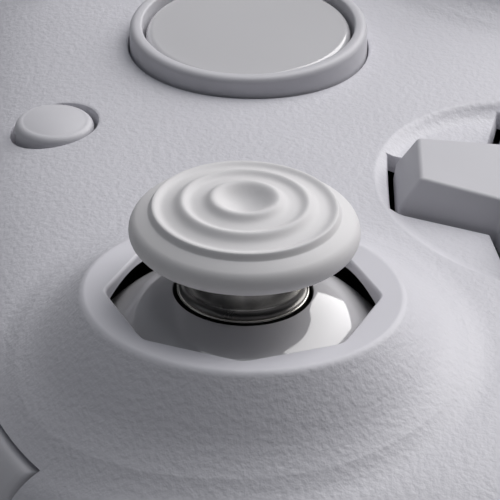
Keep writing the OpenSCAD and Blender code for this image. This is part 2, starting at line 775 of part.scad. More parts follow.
module face_membrane() {
    color(dark_grey) {
        translate([face_at[0], face_at[1], board_z]) intersection() {
            cylinder(r = 15.6, h = membrane_t);
            rotate([0, 0, 45]) cube([24, 24, 4], center = true);
        }
        for (i = [0 : 3]) translate([face_place(i)[0], face_place(i)[1], board_z])
            cylinder(r1 = 3.6, r2 = 2.7, h = face_dome_top - board_z);
    }
}

module small_button(i) {
    at = small_places[i];
    z = face_z(at[0], at[1]);
    color(pale) translate([at[0], at[1], 0]) {
        round_button(small_r, z + small_h, z - 4.4, 1.8, board_z + switch_h + small_travel + 0.2);
        translate([-small_r - 1, -1.2, z - 4.4]) cube([2 * small_r + 2, 2.4, 1]);
    }
}

module home_button() {
    low = home_z - wall - 1.6;
    color(gloss_white) translate([home_at[0], home_at[1], 0]) {
        round_button(home_r, home_z + home_ring_h - 0.2, low, 2.4, board_z + switch_h + small_travel + 0.2);
        translate([-home_r - 1, -2, low]) cube([2 * home_r + 2, 4, 1]);
    }
}

module home_ring() {
    r = home_ring_r;
    h = home_ring_h;
    bore = home_r + button_gap;
    color(white) translate([home_at[0], home_at[1], home_z])
        rotate_extrude() polygon([[bore, -wall + 0.2], [r, -wall + 0.2], [r, h - 0.7],
            [r - 0.2, h - 0.25], [r - 0.6, h], [bore + 0.2, h], [bore, h - 0.2]]);
}

module tact_switch(at) {
    stem_h = 0.7;
    translate([at[0] - switch_w / 2, at[1] - switch_w / 2, board_z])
        cube([switch_w, switch_w, switch_h - stem_h]);
    translate([at[0], at[1], board_z + switch_h - stem_h]) cylinder(r = 1.7, h = stem_h);
}

module small_switches() {
    color(black) {
        for (at = small_places) tact_switch(at);
        tact_switch(home_at);
    }
}

// Right bumper: a piece of the casing's skin on a vertical pin, hollowed beside the upper face button
module right_bumper() {
    north = face_place(3);
    swing = (north[0] + face_r - bumper_pin[0]) * sin(bumper_swing);
    color(pale) difference() {
        union() {
            intersection() {
                difference() {
                    casing_solid(0);
                    casing_solid(wall);
                }
                bumper_region(0);
            }
            intersection() {
                casing_solid(wall / 2);
                union() {
                    translate([bumper_pin[0], bumper_pin[1], bumper_lug_z[0]])
                        cylinder(r = bumper_lug_r, h = bumper_lug_z[1] - bumper_lug_z[0]);
                    translate([bumper_pin[0] - 2, bumper_pin[1] + 1.9, bumper_lug_z[0]])
                        cube([4, 6, bumper_lug_z[1] - bumper_lug_z[0]]);
                }
            }
        }
        translate([bumper_pin[0], bumper_pin[1], 20]) cylinder(r = pin_r + pin_gap, h = 30);
        translate([north[0], north[1], face_z(north[0], north[1]) - face_body - face_travel - button_gap])
            cylinder(r = face_r + swing + button_gap, h = 10);
    }
}

module bumper_pins() {
    color(steel) both_sides() translate([bumper_pin[0], bumper_pin[1], parting_h - 4])
        cylinder(r = pin_r, h = bumper_top + swing_gap + 1.4 - parting_h + 4);
}

// Right trigger: a hooked lever on a pin, drawn in the plane across the pin
module right_trigger() {
    y = trigger_y;
    z = trigger_pin_z;
    back = y + trigger_arm;
    top = z + trigger_eye_r + 0.5;
    under = z - trigger_root + 1;
    low = z - trigger_fall;
    outer = [for (t = [0 : 0.1 : 1])
        [back + trigger_nose * sin(90 * t), top - (trigger_fall - 1.9) * (1 - cos(90 * t))]];
    inner = [for (t = [1 : -0.125 : 0])
        [back - 2.5 + (trigger_nose - 0.8) * sin(90 * t), under - (trigger_fall - 6.2) * (1 - cos(90 * t))]];
    nose = back + trigger_nose;
    tip = [[nose + 0.4, low + 2.9], [nose + 0.7, low + 0.4], [nose - 0.4, low], [nose - 2.2, low + 1.2]];
    color(pale) difference() {
        union() {
            translate([trigger_in_x, 0, 0]) rotate([90, 0, 90]) linear_extrude(height = trigger_w)
                polygon(concat([[y, top - 0.7], [y + 4, top]], outer, tip, inner,
                    [[y, z - trigger_eye_r + 0.2]]));
            translate([trigger_in_x, y, z]) rotate([0, 90, 0]) cylinder(r = trigger_eye_r, h = trigger_w);
        }
        translate([trigger_in_x - 1, y, z]) rotate([0, 90, 0])
            cylinder(r = pin_r + pin_gap, h = trigger_w + 2);
    }
}

module trigger_pins() {
    reach = trigger_side_gap + lug_t;
    color(steel) both_sides() translate([trigger_in_x - reach, trigger_y, trigger_pin_z]) rotate([0, 90, 0])
        cylinder(r = pin_r, h = trigger_w + 2 * reach);
}

module trigger_sensors() {
    color(black) both_sides() translate([trigger_in_x + 6, trigger_y - 10, board_z]) cube(trigger_sensor);
}

module main_board() {
    color(board_green) difference() {
        translate([0, 0, board_low_z]) linear_extrude(height = board_t) polygon([
            [-board_left_x, board_wing_y], [-board_neck_x - 2, board_neck_y], [-board_neck_x, board_front_y],
            [board_neck_x, board_front_y], [board_neck_x + 2, board_neck_y], [board_left_x, board_wing_y],
            [board_right_x, board_wing_y + 9], [board_right_x, board_back_y - 10],
            [board_right_x - 9, board_back_y], [bumper_pin_x, board_back_y],
            [bumper_pin_x - board_step_x, board_step_y],
            [board_tongue_x, board_tongue_y], [-board_tongue_x, board_tongue_y],
            [board_step_x - bumper_pin_x, board_step_y], [-bumper_pin_x, board_back_y],
            [-board_left_x + 5, board_back_y],
            [-board_left_x, board_back_y - 7]]);
        for (at = case_screws_at) translate([at[0], at[1], 0]) cylinder(r = boss_r + 0.6, h = 60);
        for (at = board_screws_at) translate([at[0], at[1], 0]) cylinder(r = screw_r + still_gap, h = 60);
    }
}

module usb_port() {
    r = usb_h / 2;
    color(steel) translate([0, usb_y, board_z + r]) rotate([90, 0, 0]) {
        difference() {
            linear_extrude(height = usb_d) {
                square([usb_w - usb_h, usb_h], center = true);
                for (s = [-1, 1]) translate([s * (usb_w - usb_h) / 2, 0]) circle(r = r);
            }
            translate([0, 0, -1]) linear_extrude(height = usb_d) {
                square([usb_w - usb_h, usb_h - 0.7], center = true);
                for (s = [-1, 1]) translate([s * (usb_w - usb_h) / 2, 0]) circle(r = r - 0.35);
            }
        }
        translate([-3.3, -0.35, 0.8]) cube([6.6, 0.7, usb_d - 1.2]);
    }
}

module battery() {
    color(dark_grey) translate([-battery_w / 2, battery_y - battery_d / 2, floor_z + tray_floor])
        cube([battery_w, battery_d, battery_t]);
}

module battery_tray() {
    w = battery_w + 2 * still_gap;
    d = battery_d + 2 * still_gap;
    color(black) difference() {
        translate([-w / 2 - tray_wall, battery_y - d / 2 - tray_wall, floor_z])
            cube([w + 2 * tray_wall, d + 2 * tray_wall, tray_floor + 4]);
        translate([-w / 2, battery_y - d / 2, floor_z + tray_floor]) cube([w, d, 20]);
    }
}

module right_motor() {
    color(steel) translate([motor_x - motor_len / 2, motor_y, motor_z]) rotate([0, 90, 0]) {
        cylinder(r = motor_r, h = motor_len);
        cylinder(r = motor_shaft_r, h = motor_len + weight_t + 1.4);
    }
}

module right_weight() {
    color(steel) translate([motor_x + motor_len / 2 + 1, motor_y, motor_z]) rotate([0, 90, 0]) difference() {
        union() {
            intersection() {
                cylinder(r = weight_r, h = weight_t);
                translate([0, -20, -1]) cube([40, 40, 20]);
            }
            cylinder(r = 2.4, h = weight_t);
        }
        translate([0, 0, -1]) cylinder(r = motor_shaft_r + pin_gap, h = 20);
    }
}

module screw(head_z, length) {
    translate([0, 0, head_z]) difference() {
        cylinder(r = head_r, h = head_t);
        translate([0, 0, -0.1]) cylinder(r = 1, h = 0.8, $fn = 6);
    }
    translate([0, 0, head_z + head_t / 2]) cylinder(r = screw_r, h = length);
}

module case_screws() {
    color(steel) for (at = case_screws_at) translate([at[0], at[1], 0]) {
        seat = under_z(at[0], at[1]) + screw_seat;
        screw(seat - head_t, joint_z(at[1]) - seat + 5);
    }
}

module board_screws() {
    color(steel) for (at = board_screws_at) translate([at[0], at[1], board_z]) rotate([180, 0, 0])
        screw(-head_t, 6);
}

top_shell();
bottom_shell();
stick_place(left_stick) stick_cap();  // left_stick_cap
stick_place(left_stick) stick_neck();  // left_stick_neck
stick_place(left_stick) stick_dome();  // left_stick_dome
stick_place(left_stick) stick_shaft();  // left_stick_shaft
stick_place(left_stick) stick_pivot();  // left_stick_pivot
stick_place(left_stick) stick_yoke();  // left_stick_yoke
stick_place(left_stick) stick_bail();  // left_stick_bail
stick_place(left_stick) stick_frame();  // left_stick_frame
stick_place(left_stick) stick_sensors(1);  // left_stick_sensors
stick_place(left_stick) stick_switch();  // left_stick_switch
stick_base(left_stick);  // left_stick_base
stick_place(right_stick) stick_cap();  // right_stick_cap
stick_place(right_stick) stick_neck();  // right_stick_neck
stick_place(right_stick) stick_dome();  // right_stick_dome
stick_place(right_stick) stick_shaft();  // right_stick_shaft
stick_place(right_stick) stick_pivot();  // right_stick_pivot
stick_place(right_stick) stick_yoke();  // right_stick_yoke
stick_place(right_stick) stick_bail();  // right_stick_bail
stick_place(right_stick) stick_frame();  // right_stick_frame
stick_place(right_stick) stick_sensors(-1);  // right_stick_sensors
stick_place(right_stick) stick_switch();  // right_stick_switch
stick_base(right_stick);  // right_stick_base
dpad();
dpad_ball();
dpad_post();
dpad_membrane();
face_button(0);  // south_button
face_button(1);  // east_button
face_button(2);  // west_button
face_button(3);  // north_button
face_membrane();
home_button();
home_ring();
small_button(0);  // select_button
small_button(1);  // start_button
small_switches();
mirror([1, 0, 0]) right_bumper();  // left_bumper
right_bumper();
bumper_pins();
mirror([1, 0, 0]) right_trigger();  // left_trigger
right_trigger();
trigger_pins();
trigger_sensors();
main_board();
usb_port();
battery();
battery_tray();
mirror([1, 0, 0]) right_motor();  // left_motor
mirror([1, 0, 0]) right_weight();  // left_weight
right_motor();
right_weight();
case_screws();
board_screws();
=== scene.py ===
import json
import math

import bpy
import numpy as np
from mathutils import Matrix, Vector


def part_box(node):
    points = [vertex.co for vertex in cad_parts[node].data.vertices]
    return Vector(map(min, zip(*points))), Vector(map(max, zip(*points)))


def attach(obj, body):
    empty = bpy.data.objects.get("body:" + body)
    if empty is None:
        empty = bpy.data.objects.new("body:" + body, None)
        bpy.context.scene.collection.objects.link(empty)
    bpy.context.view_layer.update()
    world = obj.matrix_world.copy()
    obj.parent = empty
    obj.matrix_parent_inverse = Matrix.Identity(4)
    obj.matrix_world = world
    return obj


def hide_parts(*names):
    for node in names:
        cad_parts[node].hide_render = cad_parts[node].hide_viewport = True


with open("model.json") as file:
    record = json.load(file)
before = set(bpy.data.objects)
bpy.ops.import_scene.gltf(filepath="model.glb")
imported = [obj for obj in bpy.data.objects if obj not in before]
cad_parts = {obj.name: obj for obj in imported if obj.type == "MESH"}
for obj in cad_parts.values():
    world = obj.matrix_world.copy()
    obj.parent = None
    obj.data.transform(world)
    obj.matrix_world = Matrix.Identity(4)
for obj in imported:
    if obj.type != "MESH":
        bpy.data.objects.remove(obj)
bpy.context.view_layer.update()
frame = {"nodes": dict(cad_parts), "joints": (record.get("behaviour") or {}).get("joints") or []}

# Sizes are in millimetres, as the solids have them, and meshes are written in metres
MM = 0.001
JOINTS = {joint["name"]: joint for joint in frame["joints"]}
SIDES = {"left": -1, "right": 1}
SOLVE_STEPS = 8

# Columns of turned pieces
COLUMNS = 192
FINE_COLUMNS = 256

# Casing: outline from above, heights, then the powers of its rounded ends and edges
BODY_W = 156.0
BACK_Y = 46.0
CROTCH_Y = -31.0
SIDE_Y = 6.0
GRIP_LEN = 21.7
CROTCH_HALF_W = 12.0
GRIP_X = 50.0
JOINT_H = 27.0
GRIP_DROP = 6.5
DROP_Y = 20.0
DROP_END_Y = -52.0
CROWN_H = 13.0
GRIP_DEPTH = 21.0
BELLY_EXTRA = 6.6
BELLY_HALF_W = 26.0
BELLY_FADE = 16.0
WALL = 2.2
FLOOR_Z = WALL + 0.2
FLAT_EDGE = 1.2
FLAT_FADE = (-2.0, 0.5)
FACE_N = 6
EDGE_N = 5
ROUND_M = 2.2
END_N = 2.8
STATIONS = 300
SPOKES = 150
SEAM_GAP = 0.22
SEAM_ROW = 0.03

# Edge of a patch in the face, which goes under the casing around it
TUCK_OUT = 0.2
TUCK_DROP = 0.03

# Gate and collar of a stick, measured from the gate plane and from the stick's axis
GATE_DEPTH = 14.4
GATE_RISE = 3.8
OCTANT = math.radians(45)
GATE_FLAT_R = 11.15 * math.cos(OCTANT / 2)
GATE_CORNER_POWER = 60
GATE_LIP_R = 0.4
GATE_COLUMNS = 384
CAVITY_RINGS = (15.4, 14.2, 13.0, 12.0)
RING_TILT = 0.045
RING_FLAT_R = 12.2
COLLAR_START_R = 12.35
COLLAR_EDGE_R = 13.3
COLLAR_EDGE_Z = -0.25
COLLAR_CURVE = 0.35
COLLAR_TOP_BLEND = 0.26
COLLAR_FOOT_BLEND = 0.4
COLLAR_BASE_R = 18.4
COLLAR_PATCH_R = 18.6
COLLAR_STEP = 0.12
GRAIN_FADE = (12.95, 13.4)
GRAIN_REACH = 9.0

# Cap, neck and dome of a stick, measured in the same way
DOME_R = 15.8
DOME_T = 1.2
DOME_END = math.radians(61)
DOME_WELL_Z = -2.4
DOME_LIP = 0.2
DOME_LIP_MID = 0.06
DOME_LIP_TURN = 0.016
DOME_INNER_TURN = 0.1
CAVITY_R = DOME_R + 1.1
CAP_R = 9.3
CAP_RIM_H = 5.75
RIM_R = 1.14
RIM_OVER = 1.35
RIM_UNDER = 0.95
RIM_START = 64.5
RIM_FOOT = (7.85, 1.67)
RIDGES = [0.288 * CAP_R, 0.548 * CAP_R, 0.798 * CAP_R]
RIDGE_H = 0.43
RIDGE_W = 0.52
DISH_EDGE_W = 0.9
CROWN_RISE = 2.82
CROWN_DROP = 1.0
CAP_DISH = 0.85
NECK_TOP_H = 2.9
NECK_R = 4.75
NECK_TOP_BORE_R = NECK_R - 0.6
NECK_FOOT_BORE_R = NECK_R - 1.2
NECK_FOOT_Z = -0.8
NECK_BEAD_R = 5.35
BEAD_R = 0.12
BEAD_Z = 0.35
BEAD_TAPER = 0.05
NECK_FLARE_H = 0.8
FLARE_LEAD = 0.1
DOME_HOLE_R = NECK_BEAD_R + 0.3
DOME_WELL_R = DOME_HOLE_R - 1.0

# Underside of the cap: in from its edge and down from the rim, then out from the waist and up from the neck
UNDER_RIM = (1.9, 1.15)
WAIST_R = NECK_R + 0.65
WAIST_CURVE = ((0.35, 0.85), (0.1, 0.6), (0, 0.35), (0, 0.05), (-0.08, 0))
CAP_BORE_R = 0.5

# Direction pad and its dish
DPAD_XY = (-24.1, -10.6)
DPAD_R = 12.8
DPAD_TIP_W = 3.6
DPAD_TAPER = math.radians(10.5)
DPAD_H = 3.05
DPAD_SKIRT = 1.8
DPAD_HOLLOW = 0.3
DPAD_EDGE = 0.3
DPAD_DRAFT = 0.9
DPAD_GAP = 0.8
PAD_DISH_R = 17.0
PAD_DISH_DEPTH = 1.1
PAD_DISH_OVER = 0.4
PAD_DISH_SLOPE = 2.4
PAD_DISH_STRAIGHT = 1.2
PAD_DISH_BLEND = 0.35
PAD_LIP_W = 0.15
PAD_LIP_H = 0.2
PAD_HOLE_DEPTH = 1.6
PAD_FLOOR_R = 15.9
PAD_PATCH_R = 17.6
PAD_STEP = 0.1
PAD_COLUMNS = 300

# Buttons, the home ring and the holes for them, with lips as steps out and down
FACE_R = 5.3
FACE_H = 2.3
FACE_SKIRT = 2.5
FACE_AT = {"south": (50.0, 5.2), "east": (61.8, 17.0), "west": (38.2, 17.0), "north": (50.0, 28.8)}
SMALL_R = 3.5
SMALL_H = 0.75
SMALL_SKIRT = 4.4
SMALL_AT = {"select": (-14.3, 33.6), "start": (14.3, 33.6)}
HOME_R = 9.3
HOME_SINK = 0.2
HOME_SKIRT = 3.8
HOME_RING_R = 10.8
HOME_RING_H = 1.8
HOME_RING_FOOT = -2.0
HOME_RING_EDGE = 0.6
HOME_RING_LIP = ((0, 0.2), (0.06, 0.06), (0.2, 0))
HOME_RING_GAP = 0.1
HOME_AT = (0.0, 16.5)
BUTTON_GAP = 0.35
BUTTON_WALL = 1.5
BUTTON_COLUMNS = 128
HOLE_DEPTH = 2.6
HOLE_LIP = ((0, 0.3), (0.09, 0.09), (0.3, 0), (0.7, 0))
HOLE_MARGIN = 1.2

# Bumpers and triggers; a trigger's arcs have their centre, from its pin, and their radii
BUMPER_X = (19.0, 62.0)
BUMPER_HIGH = 6.8
BUMPER_EDGE = 0.3
BUMPER_SINK = 1.2 * BUMPER_EDGE
BUMPER_CUT_Y = 26.5
BUMPER_CUT_Z = JOINT_H - 1
SWING_GAP = 0.5
TRIGGER_X = (27.0, 52.0)
TRIGGER_Y = 35.5
TRIGGER_Z = 22.5
TRIGGER_BACK = ((8.8, -8.7), (8.6, 12.5))
TRIGGER_TIP = ((17.0, -13.2), (1.1, 1.1))
TRIGGER_FRONT = ((6.3, -12.4), (7.8, 8.2))
TRIGGER_ROOT_H = 3.1
TRIGGER_TOP = (4.0, 3.8)
TRIGGER_EDGE = 1.2
TRIGGER_CUT_Y = 27.5
TRIGGER_CUT_Z = (13.4, JOINT_H + 3)

# Screws in the bottom, and the gap around the charging socket
SCREWS_AT = [(-62.0, -6.0), (62.0, -6.0), (-46.0, -36.0), (46.0, -36.0), (0.0, -23.0)]
SCREW_SEAT = 3.5
SCREW_WELL_R = 2.7
SCREW_HOLE_R = 1.2
SCREW_COLUMNS = 48
PORT_GAP = 0.2
PORT_CUT_Y = 36.0

# Reach of the cutters: past the back, up and down from a place, and in height over the face
CUT_PAST = 5.0
GATE_CUT = (-16, 8)
PAD_CUT = (-8, 8)
HOLE_CUT = (30, 60)
SCREW_CUT = 3.0

# Finishes: noise in features to the metre, depths of the grains in millimetres
SHELL_COLOUR = (0.655, 0.65, 0.695)
SHELL_ROUGHNESS = 0.5
SHELL_CLOUDS = 60
WORM_SCALE = 1750
WORM_DEPTH = 0.085
FINE_SCALE = 9000
FINE_DEPTH = 0.0025
CLOUDS = 90
MOTTLE = 0.015
ROUGHNESS_SPREAD = 0.04
TONE_STOPS = (0.35, 0.65)
METAL_SHADE = 0.92
METAL_ROUGHNESS = (0.7, 1.5)

# Light: soft boxes around the object, each with its turn from +X towards -Y and its rise in degrees,
# width and height in metres, radiance and colour; the key stands behind the object, to the camera's right
LIGHT_DISTANCE = 1.4
LIGHT_TARGET = (-0.03, 0.01, 0.04)
LIGHTS = {"key": (47, 41, 1.1, 1.7, 3.9, (1.0, 0.985, 0.98)),
          "top": (0, 85, 1.0, 1.0, 1.3, (0.94, 0.96, 1.0)),
          "left": (-100, 40, 1.0, 1.0, 0.2, (0.86, 0.93, 1.0))}
WORLD_COLOUR = (0.86, 0.90, 1.0)
WORLD_BRIGHT_SIDE = (0.55, -0.1, 0.83)
WORLD_FROM = -0.4
WORLD_LOW = 0.02
WORLD_HIGH = 0.05
FLOOR_HALF_W = 2600.0
FLOOR_STEPS = 24
FLOOR_LEVEL = -0.02

# Camera: the gate's middle, where the photograph shows it, and the photograph's scale there
PHOTO_SIZE = 500
GATE_PIXEL = (243.0, 292.3)
PIXELS_PER_MM = 12.4
CAMERA_ELEVATION = math.radians(30.4)
CAMERA_DISTANCE = 350.0
SENSOR = 36.0

scene = bpy.context.scene


# Points and places

def place(origin, lean=0.0):
    """A local frame at origin, leaning back about X."""
    c, s = math.cos(lean), math.sin(lean)
    return np.array(origin, float), np.array([[1, 0, 0], [0, c, -s], [0, s, c]])


def out_of(at, points):
    """Points of a local frame in the casing's frame."""
    return at[0] + np.asarray(points, float) @ at[1].T


def into(at, points):
    """Points of the casing's frame in a local frame."""
    return (np.asarray(points, float) - at[0]) @ at[1]


def stick_lean(side):
    """A stick's lean, from the axis it is clicked along."""
    return math.asin(JOINTS[f"{side}_stick_click"]["axis"][1])


def gate_place(side):
    """Middle of a stick's gate plane, over the centre that the stick tilts about."""
    centre, turn = place(np.array(JOINTS[f"{side}_stick_updown"]["pos_m"]) / MM, stick_lean(side))
    return centre + turn[:, 2] * GATE_DEPTH, turn


def around(columns):
    """Evenly spaced angles of a full turn."""
    return np.linspace(0, 2 * np.pi, columns, endpoint=False)


def circle(r, z, angles):
    """Ring of local points; r and z may change from angle to angle."""
    r, z = np.broadcast_to(r, len(angles)), np.broadcast_to(z, len(angles))
    return np.stack([r * np.cos(angles), r * np.sin(angles), z], -1)


def arc(centre, radii, start, stop, steps):
    """Points of an arc of an ellipse, with its angles in degrees."""
    return [(centre[0] + radii[0] * math.cos(a), centre[1] + radii[1] * math.sin(a))
            for a in np.radians(np.linspace(start, stop, steps))]


# The casing's surface

def ramp(low, high, v):
    """Smooth step from 0 at low to 1 at high."""
    t = np.clip((v - low) / (high - low), 0, 1)
    return t * t * (3 - 2 * t)


def closure(u, n, m):
    """Rounded outline that is 1 at u = 0 and closes at u = -1 and 1."""
    return np.maximum(0, 1 - np.minimum(1, np.abs(u)) ** n) ** (1 / m)


def soft_max(a, b, k):
    """The greater of two, blended where they differ by less than k."""
    h = np.maximum(k - np.abs(a - b), 0) / k
    return np.maximum(a, b) + h * h * k / 4


def soft_min(a, b, k):
    return -soft_max(-np.asarray(a), -np.asarray(b), k)


def edges_y(x, inset=0.0):
    """Y of the casing's back and front edges at x."""
    close = closure(x / (BODY_W / 2 - inset), END_N, END_N)
    grip = GRIP_LEN * ramp(CROTCH_HALF_W, GRIP_X, np.abs(x))
    back = SIDE_Y + (BACK_Y - inset - SIDE_Y) * close
    return back, SIDE_Y - (SIDE_Y - CROTCH_Y - inset + grip) * close


def joint_z(y):
    """Height of the joint between the halves, which drops along the grips."""
    return JOINT_H - GRIP_DROP * ramp(-DROP_Y, -DROP_END_Y, -y)


def half_height(x, up, inset=0.0):
    """Height of the upper half, or depth of the lower one as a negative height, at x."""
    side = closure(x / (BODY_W / 2 - inset), FACE_N, ROUND_M)
    belly = BELLY_EXTRA * (1 - ramp(BELLY_HALF_W, BELLY_HALF_W + BELLY_FADE, np.abs(x)))
    return side * (CROWN_H - inset if up else inset - GRIP_DEPTH - belly)


def skin(x, s, up, inset=0.0):
    """Point of the casing at x, with s from -1 at the front edge to 1 at the back."""
    back, front = edges_y(x, inset)
    y = (back + front) / 2 + s * (back - front) / 2
    return np.stack([x, y, joint_z(y) + half_height(x, up, inset) * closure(s, EDGE_N, ROUND_M)], -1)


def plain_z(x, y, up=True):
    """Height of the plain face, without collars and dish, or of the underside before it is cut flat."""
    back, front = edges_y(x)
    s = (2 * y - back - front) / np.maximum(back - front, 1e-6)
    return joint_z(y) + half_height(x, up) * closure(s, EDGE_N, ROUND_M)


def height_at(at, up=True):
    return float(plain_z(np.float64(at[0]), np.float64(at[1]), up))


def rest_z(z):
    """Height of the underside where it is cut flat on the table, with a softened edge."""
    return soft_max(z, 0.0, FLAT_EDGE) * ramp(*FLAT_FADE, z)


LEFT_GATE = gate_place("left")
RIGHT_GATE = gate_place("right")
PAD_AT = place((*DPAD_XY, height_at(DPAD_XY)), stick_lean("right"))


def collar_share(r):
    """How far a stick's collar has come down from its gate plane to the face at radius r."""
    q = (r - COLLAR_EDGE_R) / (COLLAR_BASE_R - COLLAR_EDGE_R)
    fall = q * (1 + COLLAR_CURVE * (1 - np.minimum(q, 1)))
    flank = COLLAR_EDGE_Z - (GATE_RISE + COLLAR_EDGE_Z) * fall
    share = -soft_min(0.0, flank, COLLAR_TOP_BLEND) / GATE_RISE
    return soft_min(1.0, share, COLLAR_FOOT_BLEND)


def ring_rise(gate, x):
    """Height of the collar's ring above the gate plane: the left one, seen in the photograph, tilts."""
    return -RING_TILT * x if gate is LEFT_GATE else 0 * x


def add_collar(gate, x, y, face):
    """Height over (x, y) of the face with a stick's collar."""
    z = face
    for _ in range(SOLVE_STEPS):
        local = into(gate, np.stack([x, y, z], -1))
        plane = z - local[..., 2] / gate[1][2, 2] + ring_rise(gate, local[..., 0])
        share = collar_share(np.hypot(local[..., 0], local[..., 1]))
        z = face + (1 - share) * (plane - face)
    return z


def pad_dish_z(r):
    """Height of the pad's dish above the face at radius r: a parabola that runs out straight."""
    t = np.maximum(0, (r - PAD_DISH_R + PAD_DISH_SLOPE) / PAD_DISH_SLOPE)
    straight = PAD_DISH_STRAIGHT ** 2 + 2 * PAD_DISH_STRAIGHT * (t - PAD_DISH_STRAIGHT)
    rise = np.where(t < PAD_DISH_STRAIGHT, t * t, straight)
    return -PAD_DISH_DEPTH + (PAD_DISH_DEPTH + PAD_DISH_OVER) * rise


def turned(at, profile, x, y, z):
    """Height over (x, y) of the surface that profile makes about a place's axis."""
    for _ in range(SOLVE_STEPS):
        local = into(at, np.stack([x, y, z], -1))
        r = np.hypot(local[..., 0], local[..., 1])
        z = z + (profile(r) - local[..., 2]) / at[1][2, 2]
    return z


def add_features(points):
    """The same points moved up or down onto the collars and the dish."""
    x, y, z = points[..., 0], points[..., 1], points[..., 2]
    for gate in (LEFT_GATE, RIGHT_GATE):
        z = add_collar(gate, x, y, z)
    z = soft_min(z, turned(PAD_AT, pad_dish_z, x, y, z), PAD_DISH_BLEND)
    return np.stack([x, y, z], -1)


def top_point(x, y):
    return add_features(np.stack([x, y, plain_z(x, y)], -1))


def on_top(at, r, angles):
    """Ring of points on the face whose distance from a place's axis is r."""
    z = 0.0
    for _ in range(SOLVE_STEPS):
        spot = out_of(at, circle(r, z, angles))
        z = into(at, top_point(spot[:, 0], spot[:, 1]))[:, 2]
    return out_of(at, circle(r, z, angles))


# Mesh building

class Mesh:
    """Points and faces that grow part by part, with a material number for each face."""

    def __init__(self):
        self.points = np.zeros((0, 3))
        self.faces = []
        self.tints = []

    def add(self, points, faces, tint=0):
        base = len(self.points)
        self.points = np.concatenate([self.points, np.asarray(points, float).reshape(-1, 3)])
        self.faces += [tuple(base + i for i in face) for face in faces]
        self.tints += [tint] * len(faces) if np.isscalar(tint) else list(tint)
        return self

    def object(self, name, materials, sharp=35):
        mesh = bpy.data.meshes.new(name)
        mesh.from_pydata((self.points * MM).tolist(), [], self.faces)
        for material in materials:
            mesh.materials.append(material)
        mesh.polygons.foreach_set("material_index", self.tints)
        mesh.update()
        obj = bpy.data.objects.new(name, mesh)
        scene.collection.objects.link(obj)
        finish_shading(obj, sharp)
        return obj


def finish_shading(obj, sharp):
    """Smooth shading, broken at edges sharper than an angle in degrees."""
    obj.data.polygons.foreach_set("use_smooth", [True] * len(obj.data.polygons))
    obj.data.set_sharp_from_angle(angle=math.radians(sharp))


def points_of(obj):
    """Points of an object's mesh, in millimetres."""
    points = np.zeros(len(obj.data.vertices) * 3)
    obj.data.vertices.foreach_get("co", points)
    return points.reshape(-1, 3) / MM


def grid_quads(grid):
    """Quads of a rectangular grid of point numbers."""
    quads = np.stack([grid[:-1, :-1], grid[1:, :-1], grid[1:, 1:], grid[:-1, 1:]], -1)
    return [tuple(quad) for quad in quads.reshape(-1, 4).tolist()]


def ring_faces(rings, columns):
    """Quads between closed rings of points, ring by ring."""
    return [(i * columns + k, (i + 1) * columns + k,
             (i + 1) * columns + (k + 1) % columns, i * columns + (k + 1) % columns)
            for i in range(rings - 1) for k in range(columns)]


def rings_patch(mesh, rings, tints=0):
    """A surface through closed rings of points, with one material number or one for each band."""
    columns = len(rings[0])
    if not np.isscalar(tints):
        tints = [tint for tint in tints for _ in range(columns)]
    return mesh.add(np.concatenate(rings), ring_faces(len(rings), columns), tints)


def lathe(at, profile, columns, tints=0):
    """A surface of revolution about a place's axis; the profile runs outwards over the top."""
    angles = around(columns)
    return rings_patch(Mesh(), [out_of(at, circle(r, z, angles)) for r, z in profile], tints)


def put(obj, body, node):
    """Sets what a piece rides on and hides the solid that it stands for."""
    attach(obj, body)
    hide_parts(node)


def apply_modifiers(obj):
    bpy.context.view_layer.update()
    evaluated = obj.evaluated_get(bpy.context.evaluated_depsgraph_get())
    mesh = bpy.data.meshes.new_from_object(evaluated)
    obj.modifiers.clear()
    old = obj.data
    obj.data = mesh
    bpy.data.meshes.remove(old)


def cut(obj, cutters):
    """Takes closed meshes away from obj and deletes them."""
    for cutter in cutters:
        modifier = obj.modifiers.new("cut", "BOOLEAN")
        modifier.operation = "DIFFERENCE"
        modifier.solver = "MANIFOLD"
        modifier.object = cutter
    apply_modifiers(obj)
    for cutter in cutters:
        bpy.data.objects.remove(cutter)


def bevel(obj, width, segments=4, angle=25):
    """Rounds the edges that are sharper than an angle in degrees."""
    modifier = obj.modifiers.new("round", "BEVEL")
    modifier.width = width * MM
    modifier.segments = segments
    modifier.limit_method = "ANGLE"
    modifier.angle_limit = math.radians(angle)
    apply_modifiers(obj)
    finish_shading(obj, 50)


def drum(at, radius, low, high, columns=COLUMNS):
    """A closed cylinder, for cutting."""
    angles = around(columns)
    points = out_of(at, np.concatenate([circle(radius, z, angles) for z in (low, high)]))
    faces = [(k, (k + 1) % columns, columns + (k + 1) % columns, columns + k) for k in range(columns)]
    faces += [tuple(range(columns))[::-1], tuple(range(columns, 2 * columns))]
    return Mesh().add(points, faces).object("cutter", [])


def block(low, high):
    """A closed box, for cutting."""
    corners = [(x, y, z) for x in (low[0], high[0]) for y in (low[1], high[1]) for z in (low[2], high[2])]
    faces = [(0, 1, 3, 2), (4, 6, 7, 5), (0, 4, 5, 1), (2, 3, 7, 6), (0, 2, 6, 4), (1, 5, 7, 3)]
    return Mesh().add(corners, faces).object("cutter", [])


# Materials

def new_material(name, colour, roughness, metallic=0.0):
    material = bpy.data.materials.new(name)
    material.use_nodes = True
    shader = material.node_tree.nodes["Principled BSDF"]
    shader.inputs["Base Color"].default_value = (*colour, 1)
    shader.inputs["Roughness"].default_value = roughness
    shader.inputs["Metallic"].default_value = metallic
    return material, material.node_tree, shader


